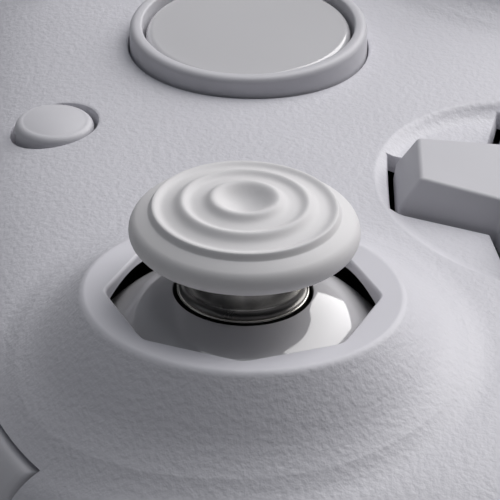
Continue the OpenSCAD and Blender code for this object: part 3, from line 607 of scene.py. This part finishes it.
def noise(tree, scale, detail=3.0, roughness=0.5):
    """Noise in the piece's own coordinates; scale is in features to the metre."""
    where = tree.nodes.new("ShaderNodeTexCoord")
    node = tree.nodes.new("ShaderNodeTexNoise")
    node.inputs["Scale"].default_value = scale
    node.inputs["Detail"].default_value = detail
    node.inputs["Roughness"].default_value = roughness
    tree.links.new(where.outputs["Object"], node.inputs["Vector"])
    return node.outputs["Fac"]


def vary_colour(tree, shader, source, dark, light):
    """Colour that wanders between two close tones."""
    tones = tree.nodes.new("ShaderNodeValToRGB")
    for stop, position, tone in zip(tones.color_ramp.elements, TONE_STOPS, (dark, light)):
        stop.position = position
        stop.color = (*tone, 1)
    tree.links.new(source, tones.inputs["Fac"])
    tree.links.new(tones.outputs["Color"], shader.inputs["Base Color"])


def vary_roughness(tree, shader, source, low, high):
    spread = tree.nodes.new("ShaderNodeMapRange")
    spread.inputs["To Min"].default_value = low
    spread.inputs["To Max"].default_value = high
    tree.links.new(source, spread.inputs["Value"])
    tree.links.new(spread.outputs["Result"], shader.inputs["Roughness"])


def bump(tree, shader, height, depth, after=None):
    """Relief of a depth in millimetres, on top of an earlier one if there is one."""
    node = tree.nodes.new("ShaderNodeBump")
    node.inputs["Strength"].default_value = 1.0
    node.inputs["Distance"].default_value = depth * MM
    tree.links.new(height, node.inputs["Height"])
    if after is not None:
        tree.links.new(after.outputs["Normal"], node.inputs["Normal"])
    tree.links.new(node.outputs["Normal"], shader.inputs["Normal"])
    return node


def mottled(tree, shader, colour, roughness, clouds, mottle):
    """Colour and gloss that wander a little with the clouds."""
    dark = [c * (1 - mottle) for c in colour]
    light = [min(1, c * (1 + mottle)) for c in colour]
    vary_colour(tree, shader, clouds, dark, light)
    vary_roughness(tree, shader, clouds, roughness - ROUGHNESS_SPREAD, roughness + ROUGHNESS_SPREAD)


def plastic(name, colour, roughness, grain_size, grain_depth, mottle=MOTTLE, shine=0.5):
    """Moulded plastic with a fine grain."""
    material, tree, shader = new_material(name, colour, roughness)
    shader.inputs["Specular IOR Level"].default_value = shine
    mottled(tree, shader, colour, roughness, noise(tree, CLOUDS, 4), mottle)
    bump(tree, shader, noise(tree, 1 / (grain_size * MM), 2), grain_depth)
    return material


def shell_plastic():
    """Casing plastic: worm grain where the grain attribute is 1, smooth where it is 0."""
    material, tree, shader = new_material("shell_plastic", SHELL_COLOUR, SHELL_ROUGHNESS)
    mottled(tree, shader, SHELL_COLOUR, SHELL_ROUGHNESS, noise(tree, SHELL_CLOUDS, 4), MOTTLE)
    mask = tree.nodes.new("ShaderNodeAttribute")
    mask.attribute_name = "grain"
    masked = tree.nodes.new("ShaderNodeMath")
    masked.operation = "MULTIPLY"
    tree.links.new(noise(tree, WORM_SCALE, 2, 0.55), masked.inputs[0])
    tree.links.new(mask.outputs["Fac"], masked.inputs[1])
    worms = bump(tree, shader, masked.outputs["Value"], WORM_DEPTH)
    bump(tree, shader, noise(tree, FINE_SCALE, 2), FINE_DEPTH, after=worms)
    return material


def metal(name, colour, roughness, scratch=600, depth=0.002):
    """Metal with fine turned or drawn lines."""
    material, tree, shader = new_material(name, colour, roughness, 1.0)
    lines = noise(tree, scratch, 6, 0.7)
    vary_roughness(tree, shader, lines, *(roughness * share for share in METAL_ROUGHNESS))
    vary_colour(tree, shader, lines, [METAL_SHADE * c for c in colour], colour)
    bump(tree, shader, lines, depth)
    return material


SHELL = shell_plastic()
SMOOTH = plastic("cap_plastic", (0.74, 0.73, 0.74), 0.55, 0.12, 0.003)
BUTTON = plastic("button_plastic", (0.62, 0.615, 0.65), 0.45, 0.2, 0.003)
GLOSS = plastic("dome_plastic", (0.64, 0.635, 0.655), 0.07, 2.0, 0.001, mottle=0.008, shine=1.0)
NICKEL = metal("neck_metal", (0.72, 0.71, 0.65), 0.2)
# Dark metal of the neck's flared foot: painted shade of the dark band that the foot shows.
PAINTED_SHADE_NICKEL = metal("neck_foot_painted_shade_metal", (0.2, 0.195, 0.185), 0.28)
STEEL = metal("steel", (0.60, 0.61, 0.63), 0.3)
# Black plastic: the own colour of the inner parts, and painted shade in the gate cavities and the dome's
# wells.
BLACK = plastic("black_plastic", (0.012, 0.012, 0.013), 0.5, 0.2, 0.004, mottle=0.2)
RUBBER = plastic("grey_rubber", (0.05, 0.05, 0.055), 0.65, 0.3, 0.006, mottle=0.1)
BOARD = plastic("board", (0.02, 0.12, 0.07), 0.35, 0.4, 0.004, mottle=0.12)


# Casing

def half_shell_points(up):
    """Outer and inner grid of a half of the casing, and the points that close their ends."""
    half = BODY_W / 2
    xs = half * np.sin(np.radians(-90 + 180 * np.arange(1, STATIONS) / STATIONS))
    row = (1 - SEAM_ROW ** ROUND_M) ** (1 / EDGE_N)
    turns = np.radians(np.linspace(-90, 90, 2 * SPOKES + 1)[2:-2])
    spokes = np.concatenate([[-1, -row], np.sin(turns), [row, 1]])
    x, s = np.meshgrid(xs, spokes, indexing="ij")
    outer = skin(x, s, up)
    for k in (0, -1):
        outer[:, k] = skin(xs * (half - SEAM_GAP) / half, np.full(len(xs), spokes[k]), up, SEAM_GAP)
    inner = skin(x * (half - WALL) / half, s, up, WALL)
    if up:
        outer = add_features(outer)
    else:
        outer[..., 2] = rest_z(outer[..., 2])
        inner[..., 2] = np.maximum(inner[..., 2], FLOOR_Z)
    ends = [[side * (half - gap), SIDE_Y, joint_z(SIDE_Y)] for gap in (SEAM_GAP, WALL) for side in (-1, 1)]
    return outer, inner, ends


def half_shell(up):
    """The upper or lower half of the casing as a closed shell, with an inner side."""
    outer, inner, ends = half_shell_points(up)
    n, m = outer.shape[:2]
    size = n * m
    index = np.arange(size).reshape(n, m)
    faces = []
    for layer in (0, 1):
        grid = index + layer * size
        left = 2 * size + 2 * layer
        side = grid_quads(grid)
        side += [(left, grid[0, k], grid[0, k + 1]) for k in range(m - 1)]
        side += [(left + 1, grid[-1, k + 1], grid[-1, k]) for k in range(m - 1)]
        faces += side if (layer == 0) == up else [face[::-1] for face in side]
    for k, flip in ((0, False), (m - 1, True)):
        line = np.concatenate([[2 * size], index[:, k], [2 * size + 1]])
        inside = np.concatenate([[2 * size + 2], index[:, k] + size, [2 * size + 3]])
        strip = [(line[i], inside[i], inside[i + 1], line[i + 1]) for i in range(n + 1)]
        faces += [face[::-1] for face in strip] if flip == up else strip
    points = np.concatenate([outer.reshape(-1, 3), inner.reshape(-1, 3), ends])
    return Mesh().add(points, [tuple(int(i) for i in face) for face in faces])


def octagon_r(angles):
    """Radius of the gate's outline, an octagon with slightly rounded corners."""
    sides = OCTANT * (0.5 + np.arange(8))
    towards = np.maximum(0, np.cos(angles[:, None] - sides[None, :])) / GATE_FLAT_R
    return (towards ** GATE_CORNER_POWER).sum(1) ** (-1 / GATE_CORNER_POWER)


def gate_patch(mesh, gate):
    """Collar of a stick: cavity painted black as painted shade, gate wall with its lip, smooth ring and
    flank.
    """
    angles = around(GATE_COLUMNS)
    wall_r = octagon_r(angles)

    def on_ring(r, z):
        return out_of(gate, circle(r, z + ring_rise(gate, r * np.cos(angles)), angles))

    def on_cavity(r):
        return out_of(gate, circle(r, np.sqrt(CAVITY_R ** 2 - r ** 2) - GATE_DEPTH, angles))

    # The cavity rings take the black material: painted shade where the gap under the gate's lip lies in
    # shadow.
    dark = [on_cavity(r) for r in CAVITY_RINGS]
    lip = [on_ring(wall_r + GATE_LIP_R * (1 - math.cos(a)), -GATE_LIP_R * (1 - math.sin(a)))
           for a in np.linspace(0, math.pi / 2, 7)]
    flat = [on_ring((wall_r + GATE_LIP_R) * (1 - t) + RING_FLAT_R * t, 0) for t in (0.25, 0.5, 0.75, 1.0)]
    radii = np.append(np.arange(COLLAR_START_R, COLLAR_PATCH_R, COLLAR_STEP), COLLAR_PATCH_R)
    flank = [on_top(gate, r, angles) for r in radii]
    tuck = on_top(gate, COLLAR_PATCH_R + TUCK_OUT, angles) - [0, 0, TUCK_DROP]
    light = [on_cavity(wall_r)] + lip + flat + flank + [tuck]
    rings_patch(mesh, dark + light, [1] * len(dark) + [0] * (len(light) - 1))


def hole_patch(mesh, centre, radius):
    """Round hole in the face with a small rounded lip."""
    angles = around(BUTTON_COLUMNS)
    rings = []
    for grow, drop in ((0, HOLE_DEPTH), *HOLE_LIP, (HOLE_MARGIN, 0), (HOLE_MARGIN + TUCK_OUT, TUCK_DROP)):
        ring = circle(radius + grow, 0, angles)
        rings.append(top_point(centre[0] + ring[:, 0], centre[1] + ring[:, 1]) - [0, 0, drop])
    rings_patch(mesh, rings)


def cross_points(tip, half_w):
    """Outline of the direction pad: four arms that widen towards the middle."""
    k = math.tan(DPAD_TAPER)
    c = (half_w + k * tip) / (1 + k)
    quarter = [(tip, -half_w), (tip, half_w), (c, c)]
    turns = [lambda p: p, lambda p: (-p[1], p[0]), lambda p: (-p[0], -p[1]), lambda p: (p[1], -p[0])]
    return np.array([turn(p) for turn in turns for p in quarter])


def outline_r(outline, angles):
    """Radius of a star-shaped outline along each angle."""
    best = np.full(len(angles), np.inf)
    d = np.stack([np.cos(angles), np.sin(angles)], -1)
    for a, b in zip(outline, np.roll(outline, -1, 0)):
        e = b - a
        cross = d[:, 0] * e[1] - d[:, 1] * e[0]
        cross = np.where(np.abs(cross) < 1e-12, 1e-12, cross)
        r = (a[0] * e[1] - a[1] * e[0]) / cross
        u = (a[0] * d[:, 1] - a[1] * d[:, 0]) / cross
        best = np.where((r > 0) & (u > -1e-6) & (u < 1 + 1e-6), np.minimum(best, r), best)
    return best


def dish_patch(mesh):
    """Floor and rim of the pad's dish, with the cross-shaped opening."""
    opening = cross_points(DPAD_R / DPAD_DRAFT + DPAD_GAP, DPAD_TIP_W / DPAD_DRAFT + DPAD_GAP)
    corners = np.arctan2(opening[:, 1], opening[:, 0])
    angles = np.sort(np.concatenate([np.linspace(-np.pi, np.pi, PAD_COLUMNS, endpoint=False), corners]))
    hole_r = outline_r(opening, angles)
    lip_r = hole_r + PAD_LIP_W
    rim = np.append(np.arange(PAD_FLOOR_R + PAD_STEP, PAD_PATCH_R - PAD_STEP / 2, PAD_STEP), PAD_PATCH_R)
    steps = [(hole_r, PAD_HOLE_DEPTH), (hole_r, PAD_LIP_H), (lip_r, 0)]
    steps += [(lip_r * (1 - t) + PAD_FLOOR_R * t, 0) for t in np.linspace(0, 1, 15)[1:]]
    steps += [(r, 0) for r in rim]
    steps += [(PAD_PATCH_R + TUCK_OUT, TUCK_DROP)]
    rings_patch(mesh, [on_top(PAD_AT, r, angles) - [0, 0, drop] for r, drop in steps])


def mark_grain(obj):
    """Sets the grain attribute: none within the collars' rings, full on the rest of the casing."""
    points = points_of(obj)
    grain = np.ones(len(points))
    for gate in (LEFT_GATE, RIGHT_GATE):
        x, y, z = into(gate, points).T
        fade = ramp(*GRAIN_FADE, np.hypot(x, y))
        grain = np.minimum(grain, np.where(np.abs(z) < GRAIN_REACH, fade, 1))
    attribute = obj.data.attributes.new("grain", "FLOAT", "POINT")
    attribute.data.foreach_set("value", grain.astype(np.float32))


def face_normals(x, y, step=0.04):
    """The face's own normals, from its slopes over a small step."""
    slope_x = (top_point(x + step, y) - top_point(x - step, y))[:, 2] / (2 * step)
    slope_y = (top_point(x, y + step) - top_point(x, y - step))[:, 2] / (2 * step)
    normals = np.stack([-slope_x, -slope_y, np.ones(len(x))], -1)
    return normals / np.linalg.norm(normals, axis=1)[:, None]


def smooth_top(obj, near=0.02, steepest=0.35, alike=0.9):
    """Gives points on the face its own normals, so that patches meet without a seam."""
    mesh = obj.data
    x, y, z = points_of(obj).T
    normals = face_normals(x, y)
    known = (np.abs(top_point(x, y)[:, 2] - z) < near) & (normals[:, 2] > steepest)
    corners = np.zeros(len(mesh.loops), int)
    mesh.loops.foreach_get("vertex_index", corners)
    sides = np.zeros(len(mesh.polygons) * 3)
    mesh.polygons.foreach_get("normal", sides)
    counts = np.zeros(len(mesh.polygons), int)
    mesh.polygons.foreach_get("loop_total", counts)
    sides = np.repeat(sides.reshape(-1, 3), counts, axis=0)
    same = known[corners] & ((sides * normals[corners]).sum(1) > alike)
    mesh.normals_split_custom_set(np.where(same[:, None], normals[corners], 0).tolist())


def join_mesh(obj, mesh, materials, name):
    """A new object of obj's mesh and another mesh's points."""
    whole = Mesh().add(points_of(obj), [tuple(p.vertices) for p in obj.data.polygons])
    whole.add(mesh.points, mesh.faces, mesh.tints)
    bpy.data.objects.remove(obj)
    return whole.object(name, materials)


def back_opening(side, across, y, low, high):
    """Cutter for the opening of a bumper or trigger, from y out through the casing's back."""
    left, right = sorted(side * x for x in (across[0] - SWING_GAP, across[1] + SWING_GAP))
    return block((left, y, low), (right, BACK_Y + CUT_PAST, high))


def top_casing():
    body = half_shell(True).object("casing_blank", [])
    holes = [(at, FACE_R + BUTTON_GAP) for at in FACE_AT.values()]
    holes += [(at, SMALL_R + BUTTON_GAP) for at in SMALL_AT.values()]
    holes += [(HOME_AT, HOME_RING_R + HOME_RING_GAP)]
    cutters = [drum(gate, COLLAR_PATCH_R, *GATE_CUT) for gate in (LEFT_GATE, RIGHT_GATE)]
    cutters += [drum(PAD_AT, PAD_PATCH_R, *PAD_CUT)]
    cutters += [drum(place((*at, 0)), r + HOLE_MARGIN, *HOLE_CUT, BUTTON_COLUMNS) for at, r in holes]
    bumper_top = JOINT_H + BUMPER_HIGH + SWING_GAP
    cutters += [back_opening(side, BUMPER_X, BUMPER_CUT_Y - SWING_GAP, BUMPER_CUT_Z, bumper_top)
                for side in SIDES.values()]
    cut(body, cutters)
    details = Mesh()
    for gate in (LEFT_GATE, RIGHT_GATE):
        gate_patch(details, gate)
    dish_patch(details)
    for at, radius in holes:
        hole_patch(details, at, radius)
    # The second material, black, is painted shade in the gate cavities.
    obj = join_mesh(body, details, [SHELL, BLACK], "top_casing")
    mark_grain(obj)
    smooth_top(obj)
    put(obj, "casing", "top_shell")


def screw_wells():
    """Cutters for the wells of the casing's screws, and the wells' walls and seats."""
    cutters, wells = [], Mesh()
    angles = around(SCREW_COLUMNS)
    for x, y in SCREWS_AT:
        seat = height_at((x, y), False) + SCREW_SEAT
        cutters.append(drum(place((x, y, 0)), SCREW_WELL_R, -SCREW_CUT, seat + SCREW_CUT, SCREW_COLUMNS))
        rim = circle(SCREW_WELL_R, 0, angles)
        mouth = rest_z(plain_z(x + rim[:, 0], y + rim[:, 1], False))
        rings_patch(wells, [circle(r, z, angles) + [x, y, 0] for r, z in
                            ((SCREW_WELL_R, mouth), (SCREW_WELL_R, seat), (SCREW_HOLE_R, seat))])
    return cutters, wells


def bottom_casing():
    body = half_shell(False).object("bottom_blank", [])
    cutters, wells = screw_wells()
    cutters += [back_opening(side, TRIGGER_X, TRIGGER_CUT_Y, *TRIGGER_CUT_Z) for side in SIDES.values()]
    low, high = (np.array(corner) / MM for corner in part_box("usb_port"))
    cutters.append(block((low[0] - PORT_GAP, PORT_CUT_Y, low[2] - PORT_GAP),
                         (high[0] + PORT_GAP, BACK_Y + CUT_PAST, high[2] + PORT_GAP)))
    cut(body, cutters)
    obj = join_mesh(body, wells, [SHELL], "bottom_casing")
    mark_grain(obj)
    put(obj, "casing", "bottom_shell")


top_casing()
bottom_casing()


# Sticks

def cap_top(r):
    """Height of the cap's upper side above the gate at radius r."""
    base = CAP_RIM_H + CROWN_RISE - CROWN_DROP * (r / RIDGES[2]) ** 2
    widths = [DISH_EDGE_W if r < RIDGES[0] else RIDGE_W, RIDGE_W, RIDGE_W]
    rings = sum(RIDGE_H * math.exp(-((r - at) / width) ** 2) for at, width in zip(RIDGES, widths))
    return base + rings - CAP_DISH * (1 - min(1, r / RIDGES[0]) ** 2) ** 2


def cap_profile():
    """Outline of a stick's cap, from the middle of its top over the rim to its waist."""
    top = [(r, cap_top(r)) for r in np.linspace(0.001, RIDGES[2], 110)]
    rim_at = (CAP_R - RIM_R, CAP_RIM_H)
    rim = [(RIM_FOOT[0], CAP_RIM_H + RIM_FOOT[1])]
    rim += arc(rim_at, (RIM_R, RIM_OVER), RIM_START, 0, 20)
    rim += arc(rim_at, (RIM_R, RIM_UNDER), -5, -80, 12)
    (high_r, high), (low_r, low) = top[-1], rim[0]
    step = [(high_r + (low_r - high_r) * t, high + (low - high) * float(ramp(0, 1, t)))
            for t in np.linspace(0, 1, 12)[1:-1]]
    under = [(CAP_R - UNDER_RIM[0], CAP_RIM_H - UNDER_RIM[1])]
    under += [(WAIST_R + out, NECK_TOP_H + up) for out, up in WAIST_CURVE]
    return top + step + rim + under + [(CAP_BORE_R, NECK_TOP_H)]


def thumb_cap(side):
    obj = lathe(gate_place(side), cap_profile(), FINE_COLUMNS).object(f"{side}_thumb_cap", [SMOOTH], 70)
    put(obj, f"{side}_stick", f"{side}_stick_cap")


def thumb_neck(side):
    """Polished neck with a flared foot, painted darker as painted shade, and a bead at its end."""
    bead = (NECK_BEAD_R - BEAD_R, BEAD_Z)
    flare = (bead[0], BEAD_Z + BEAD_R + NECK_FLARE_H)
    neck = [(NECK_TOP_BORE_R, NECK_TOP_H), (NECK_R, NECK_TOP_H), (NECK_R, flare[1] + FLARE_LEAD)]
    neck += arc(flare, (bead[0] - NECK_R, NECK_FLARE_H), 180, 270, 16)
    neck += arc(bead, (BEAD_R, BEAD_R), 80, -20, 9)
    neck += [(NECK_BEAD_R - BEAD_TAPER, NECK_FOOT_Z), (NECK_FOOT_BORE_R, NECK_FOOT_Z)]
    # The flared foot takes the dark metal: painted shade.
    shade_from, shade_to = NECK_R + 0.02, bead[0] - 0.01
    tints = [int(shade_from < r < shade_to) for r, _ in neck[1:]]
    mesh = lathe(gate_place(side), neck, COLUMNS, tints)
    obj = mesh.object(f"{side}_thumb_neck", [NICKEL, PAINTED_SHADE_NICKEL], 50)
    put(obj, f"{side}_stick", f"{side}_stick_neck")


def thumb_dome(side):
    """Glossy dome around the neck, with a well in the gap between them, painted black as painted shade."""

    def on_sphere(radius, angle):
        return radius * math.sin(angle), radius * math.cos(angle) - GATE_DEPTH

    start = math.asin(DOME_HOLE_R / DOME_R)
    top = on_sphere(DOME_R, start)[1]
    dome = [(DOME_WELL_R, DOME_WELL_Z), (DOME_HOLE_R, DOME_WELL_Z)]
    dome += [(DOME_HOLE_R, top - DOME_LIP), (DOME_HOLE_R + DOME_LIP_MID, top - DOME_LIP_MID)]
    dome += [on_sphere(DOME_R, a) for a in np.linspace(start + DOME_LIP_TURN, DOME_END, 60)]
    dome += [on_sphere(DOME_R - DOME_T, a) for a in np.linspace(DOME_END, start + DOME_INNER_TURN, 30)]
    # The well's floor and wall take the black material: painted shade in the gap around the neck.
    mesh = lathe(gate_place(side), dome, FINE_COLUMNS, [1, 1] + [0] * (len(dome) - 3))
    obj = mesh.object(f"{side}_thumb_dome", [GLOSS, BLACK], 40)
    put(obj, f"{side}_stick", f"{side}_stick_dome")


for stick_side in SIDES:
    thumb_cap(stick_side)
    thumb_neck(stick_side)
    thumb_dome(stick_side)


# Direction pad and buttons

def direction_pad():
    """Four-armed pad with drafted sides; its arms slope down a little to the middle."""
    foot = cross_points(DPAD_R / DPAD_DRAFT, DPAD_TIP_W / DPAD_DRAFT)
    head = cross_points(DPAD_R, DPAD_TIP_W)
    n = len(head)
    inner = [2, 5, 8, 11]
    low = np.column_stack([foot, np.full(n, -PAD_DISH_DEPTH - DPAD_SKIRT)])
    base = np.column_stack([foot, np.full(n, -PAD_DISH_DEPTH)])
    upper = np.column_stack([head, np.full(n, DPAD_H - PAD_DISH_DEPTH)])
    upper[inner, 2] -= DPAD_HOLLOW
    faces = [(n * j + k, n * j + (k + 1) % n, n * (j + 1) + (k + 1) % n, n * (j + 1) + k)
             for j in (0, 1) for k in range(n)]
    faces += [tuple(range(n))[::-1], tuple(2 * n + k for k in inner)]
    faces += [(2 * n + inner[j - 1], 2 * n + 3 * j, 2 * n + 3 * j + 1, 2 * n + inner[j]) for j in range(4)]
    points = out_of(PAD_AT, np.concatenate([low, base, upper]))
    obj = Mesh().add(points, faces).object("direction_pad", [BUTTON])
    bevel(obj, DPAD_EDGE)
    put(obj, "dpad", "dpad")


def round_button(name, at, radius, top, low, crown=0.35, edge=0.7, material=BUTTON):
    """Button with a crowned top, a rounded edge and a straight skirt."""
    flat_r = radius - edge
    profile = [(r, top - crown * (r / flat_r) ** 2) for r in np.linspace(0.001, flat_r, 16)]
    profile += arc((flat_r, top - crown - edge), (edge, edge), 88, 0, 12)
    profile += [(radius, low), (radius - BUTTON_WALL, low)]
    return lathe(place((*at, 0)), profile, BUTTON_COLUMNS).object(name, [material], 50)


def buttons():
    for name, at in FACE_AT.items():
        z = height_at(at)
        obj = round_button(f"{name}_face_button", at, FACE_R, z + FACE_H, z - FACE_SKIRT)
        put(obj, f"{name}_button", f"{name}_button")
    for name, at in SMALL_AT.items():
        z = height_at(at)
        obj = round_button(f"{name}_small_button", at, SMALL_R, z + SMALL_H, z - SMALL_SKIRT)
        put(obj, f"{name}_button", f"{name}_button")


def home_button():
    """Large glossy button in a raised ring."""
    z = height_at(HOME_AT)
    top = z + HOME_RING_H - HOME_SINK
    obj = round_button("home_cover", HOME_AT, HOME_R, top, z - HOME_SKIRT, material=GLOSS)
    put(obj, "home_button", "home_button")
    bore = HOME_R + BUTTON_GAP
    edge = HOME_RING_EDGE
    ring = [(bore, HOME_RING_FOOT)]
    ring += [(bore + out, HOME_RING_H - down) for out, down in HOME_RING_LIP]
    ring += arc((HOME_RING_R - edge, HOME_RING_H - edge), (edge, edge), 90, 0, 10)
    ring += [(HOME_RING_R, HOME_RING_FOOT)]
    obj = lathe(place((*HOME_AT, z)), ring, COLUMNS).object("home_collar", [BUTTON], 50)
    put(obj, "casing", "home_ring")


direction_pad()
buttons()
home_button()


# Bumpers and triggers

def edge_stops(low, high, steps):
    """Stops from low to high, close together at the rounded ends, and how deep each is sunk."""
    edge = BUMPER_EDGE * np.array([0, 0.3, 1])
    middle = np.linspace(low + BUMPER_EDGE, high - BUMPER_EDGE, steps)[1:-1]
    sink = np.concatenate([edge[::-1], np.zeros(len(middle)), edge])
    return np.concatenate([low + edge, middle, high - edge[::-1]]), sink


def bumper(name, side):
    """Skin piece of the casing's back edge, with rounded borders."""
    xs, sink_x = edge_stops(*BUMPER_X, 70)
    zs, sink_z = edge_stops(JOINT_H + SWING_GAP, JOINT_H + BUMPER_HIGH, 16)
    x, z = np.meshgrid(xs, zs, indexing="ij")
    sink = np.minimum(BUMPER_SINK, np.hypot(*np.meshgrid(sink_x, sink_z, indexing="ij")))

    def surface(inset):
        h = np.clip((z - JOINT_H) / half_height(x, True, inset), 0, 1)
        s = (1 - h ** ROUND_M) ** (1 / EDGE_N)
        back, front = edges_y(x, inset)
        return np.stack([side * x, (back + front) / 2 + s * (back - front) / 2, z], -1).reshape(-1, 3)

    points = np.concatenate([surface(sink), surface(np.full_like(x, WALL))])
    size = x.size
    grid = np.arange(size).reshape(x.shape)
    quads = grid_quads(grid)
    faces = [quad[::-1] for quad in quads] + [tuple(size + i for i in quad) for quad in quads]
    border = np.concatenate([grid[:, 0], grid[-1, 1:], grid[-2::-1, -1], grid[0, -2:0:-1]]).tolist()
    faces += [(a, b, size + b, size + a) for a, b in zip(border, border[1:] + border[:1])]
    if side < 0:
        faces = [face[::-1] for face in faces]
    obj = Mesh().add(points, faces).object(f"{name}_shoulder", [BUTTON], 40)
    put(obj, f"{name}_bumper", f"{name}_bumper")


def trigger(name, side):
    """Hooked lever with rounded edges."""
    outline = [(0, TRIGGER_ROOT_H), TRIGGER_TOP]
    outline += arc(*TRIGGER_BACK, 90, 0, 25)
    outline += arc(*TRIGGER_TIP, 10, -110, 9)
    outline += arc(*TRIGGER_FRONT, 0, 90, 17)
    outline += [(0, -TRIGGER_ROOT_H)]
    count = len(outline)
    points = [(side * x, TRIGGER_Y + y, TRIGGER_Z + z) for x in TRIGGER_X for y, z in outline]
    faces = [tuple(range(count)), tuple(range(count, 2 * count))[::-1]]
    faces += [((k + 1) % count, k, count + k, count + (k + 1) % count) for k in range(count)]
    if side > 0:
        faces = [face[::-1] for face in faces]
    obj = Mesh().add(points, faces).object(f"{name}_finger_trigger", [BUTTON])
    bevel(obj, TRIGGER_EDGE, 5, 40)
    put(obj, f"{name}_trigger", f"{name}_trigger")


for hand, hand_side in SIDES.items():
    bumper(hand, hand_side)
    trigger(hand, hand_side)


# Finishes of the solids that stay, by words in their names; the first that fits is taken

FINISHES = ((BOARD, ("main_board", "stick_sensors")),
            (RUBBER, ("membrane",)),
            (STEEL, ("frame", "pins", "usb", "motor", "weight", "screws", "ball")),
            (BLACK, ("yoke", "bail", "switch", "base", "sensors", "battery", "pivot", "shaft", "post")))

for node_name in frame["nodes"]:
    fitting = [finish for finish, words in FINISHES if any(word in node_name for word in words)]
    if fitting:
        node = frame["nodes"][node_name]
        node.data.materials.clear()
        node.data.materials.append(fitting[0])


# Floor, light and camera

def floor():
    stops = np.linspace(-FLOOR_HALF_W, FLOOR_HALF_W, FLOOR_STEPS + 1)
    x, y = np.meshgrid(stops, stops, indexing="ij")
    points = np.stack([x, y, np.full_like(x, FLOOR_LEVEL)], -1)
    mesh = Mesh().add(points, grid_quads(np.arange(x.size).reshape(x.shape)))
    material = plastic("floor_paper", (0.58, 0.58, 0.59), 0.7, 0.6, 0.01, mottle=0.01)
    mesh.object("floor", [material])


def area_light(name, turn, rise, width, height, radiance, colour):
    turn, rise = math.radians(turn), math.radians(rise)
    towards = Vector((math.cos(rise) * math.cos(turn), -math.cos(rise) * math.sin(turn), math.sin(rise)))
    data = bpy.data.lights.new(name, "AREA")
    data.shape = "RECTANGLE"
    data.size = width
    data.size_y = height
    data.energy = radiance * math.pi * width * height
    data.color = colour
    obj = bpy.data.objects.new(name, data)
    obj.location = Vector(LIGHT_TARGET) + LIGHT_DISTANCE * towards
    obj.rotation_euler = (-towards).to_track_quat("-Z", "Y").to_euler()
    obj.visible_camera = False
    scene.collection.objects.link(obj)


def studio_world():
    """Soft surroundings, brighter above and behind the object than on the camera's side."""
    world = bpy.data.worlds.new("studio")
    world.use_nodes = True
    scene.world = world
    tree = world.node_tree
    background = tree.nodes["Background"]
    background.inputs["Color"].default_value = (*WORLD_COLOUR, 1)
    where = tree.nodes.new("ShaderNodeTexCoord")
    towards = tree.nodes.new("ShaderNodeVectorMath")
    towards.operation = "DOT_PRODUCT"
    towards.inputs[1].default_value = WORLD_BRIGHT_SIDE
    level = tree.nodes.new("ShaderNodeMapRange")
    level.inputs["From Min"].default_value = WORLD_FROM
    level.inputs["From Max"].default_value = 1.0
    level.inputs["To Min"].default_value = WORLD_LOW
    level.inputs["To Max"].default_value = WORLD_HIGH
    tree.links.new(where.outputs["Generated"], towards.inputs[0])
    tree.links.new(towards.outputs["Value"], level.inputs["Value"])
    tree.links.new(level.outputs["Result"], background.inputs["Strength"])


def camera():
    data = bpy.data.cameras.new("camera")
    data.sensor_width = SENSOR
    data.lens = CAMERA_DISTANCE * SENSOR * PIXELS_PER_MM / PHOTO_SIZE
    data.clip_start = 0.01
    data.clip_end = 20
    c, s = math.cos(CAMERA_ELEVATION), math.sin(CAMERA_ELEVATION)
    ahead, right, up = np.array([c, 0, -s]), np.array([0, -1, 0]), np.array([s, 0, c])
    offset = (PHOTO_SIZE / 2 - GATE_PIXEL[0]) * right + (GATE_PIXEL[1] - PHOTO_SIZE / 2) * up
    centre = LEFT_GATE[0] - ahead * CAMERA_DISTANCE + offset / PIXELS_PER_MM
    obj = bpy.data.objects.new("camera", data)
    obj.location = centre * MM
    obj.rotation_euler = Vector(ahead).to_track_quat("-Z", "Y").to_euler()
    scene.collection.objects.link(obj)
    scene.camera = obj


floor()
studio_world()
for light_name, light in LIGHTS.items():
    area_light(light_name, *light)
camera()
scene.view_settings.view_transform = "Standard"
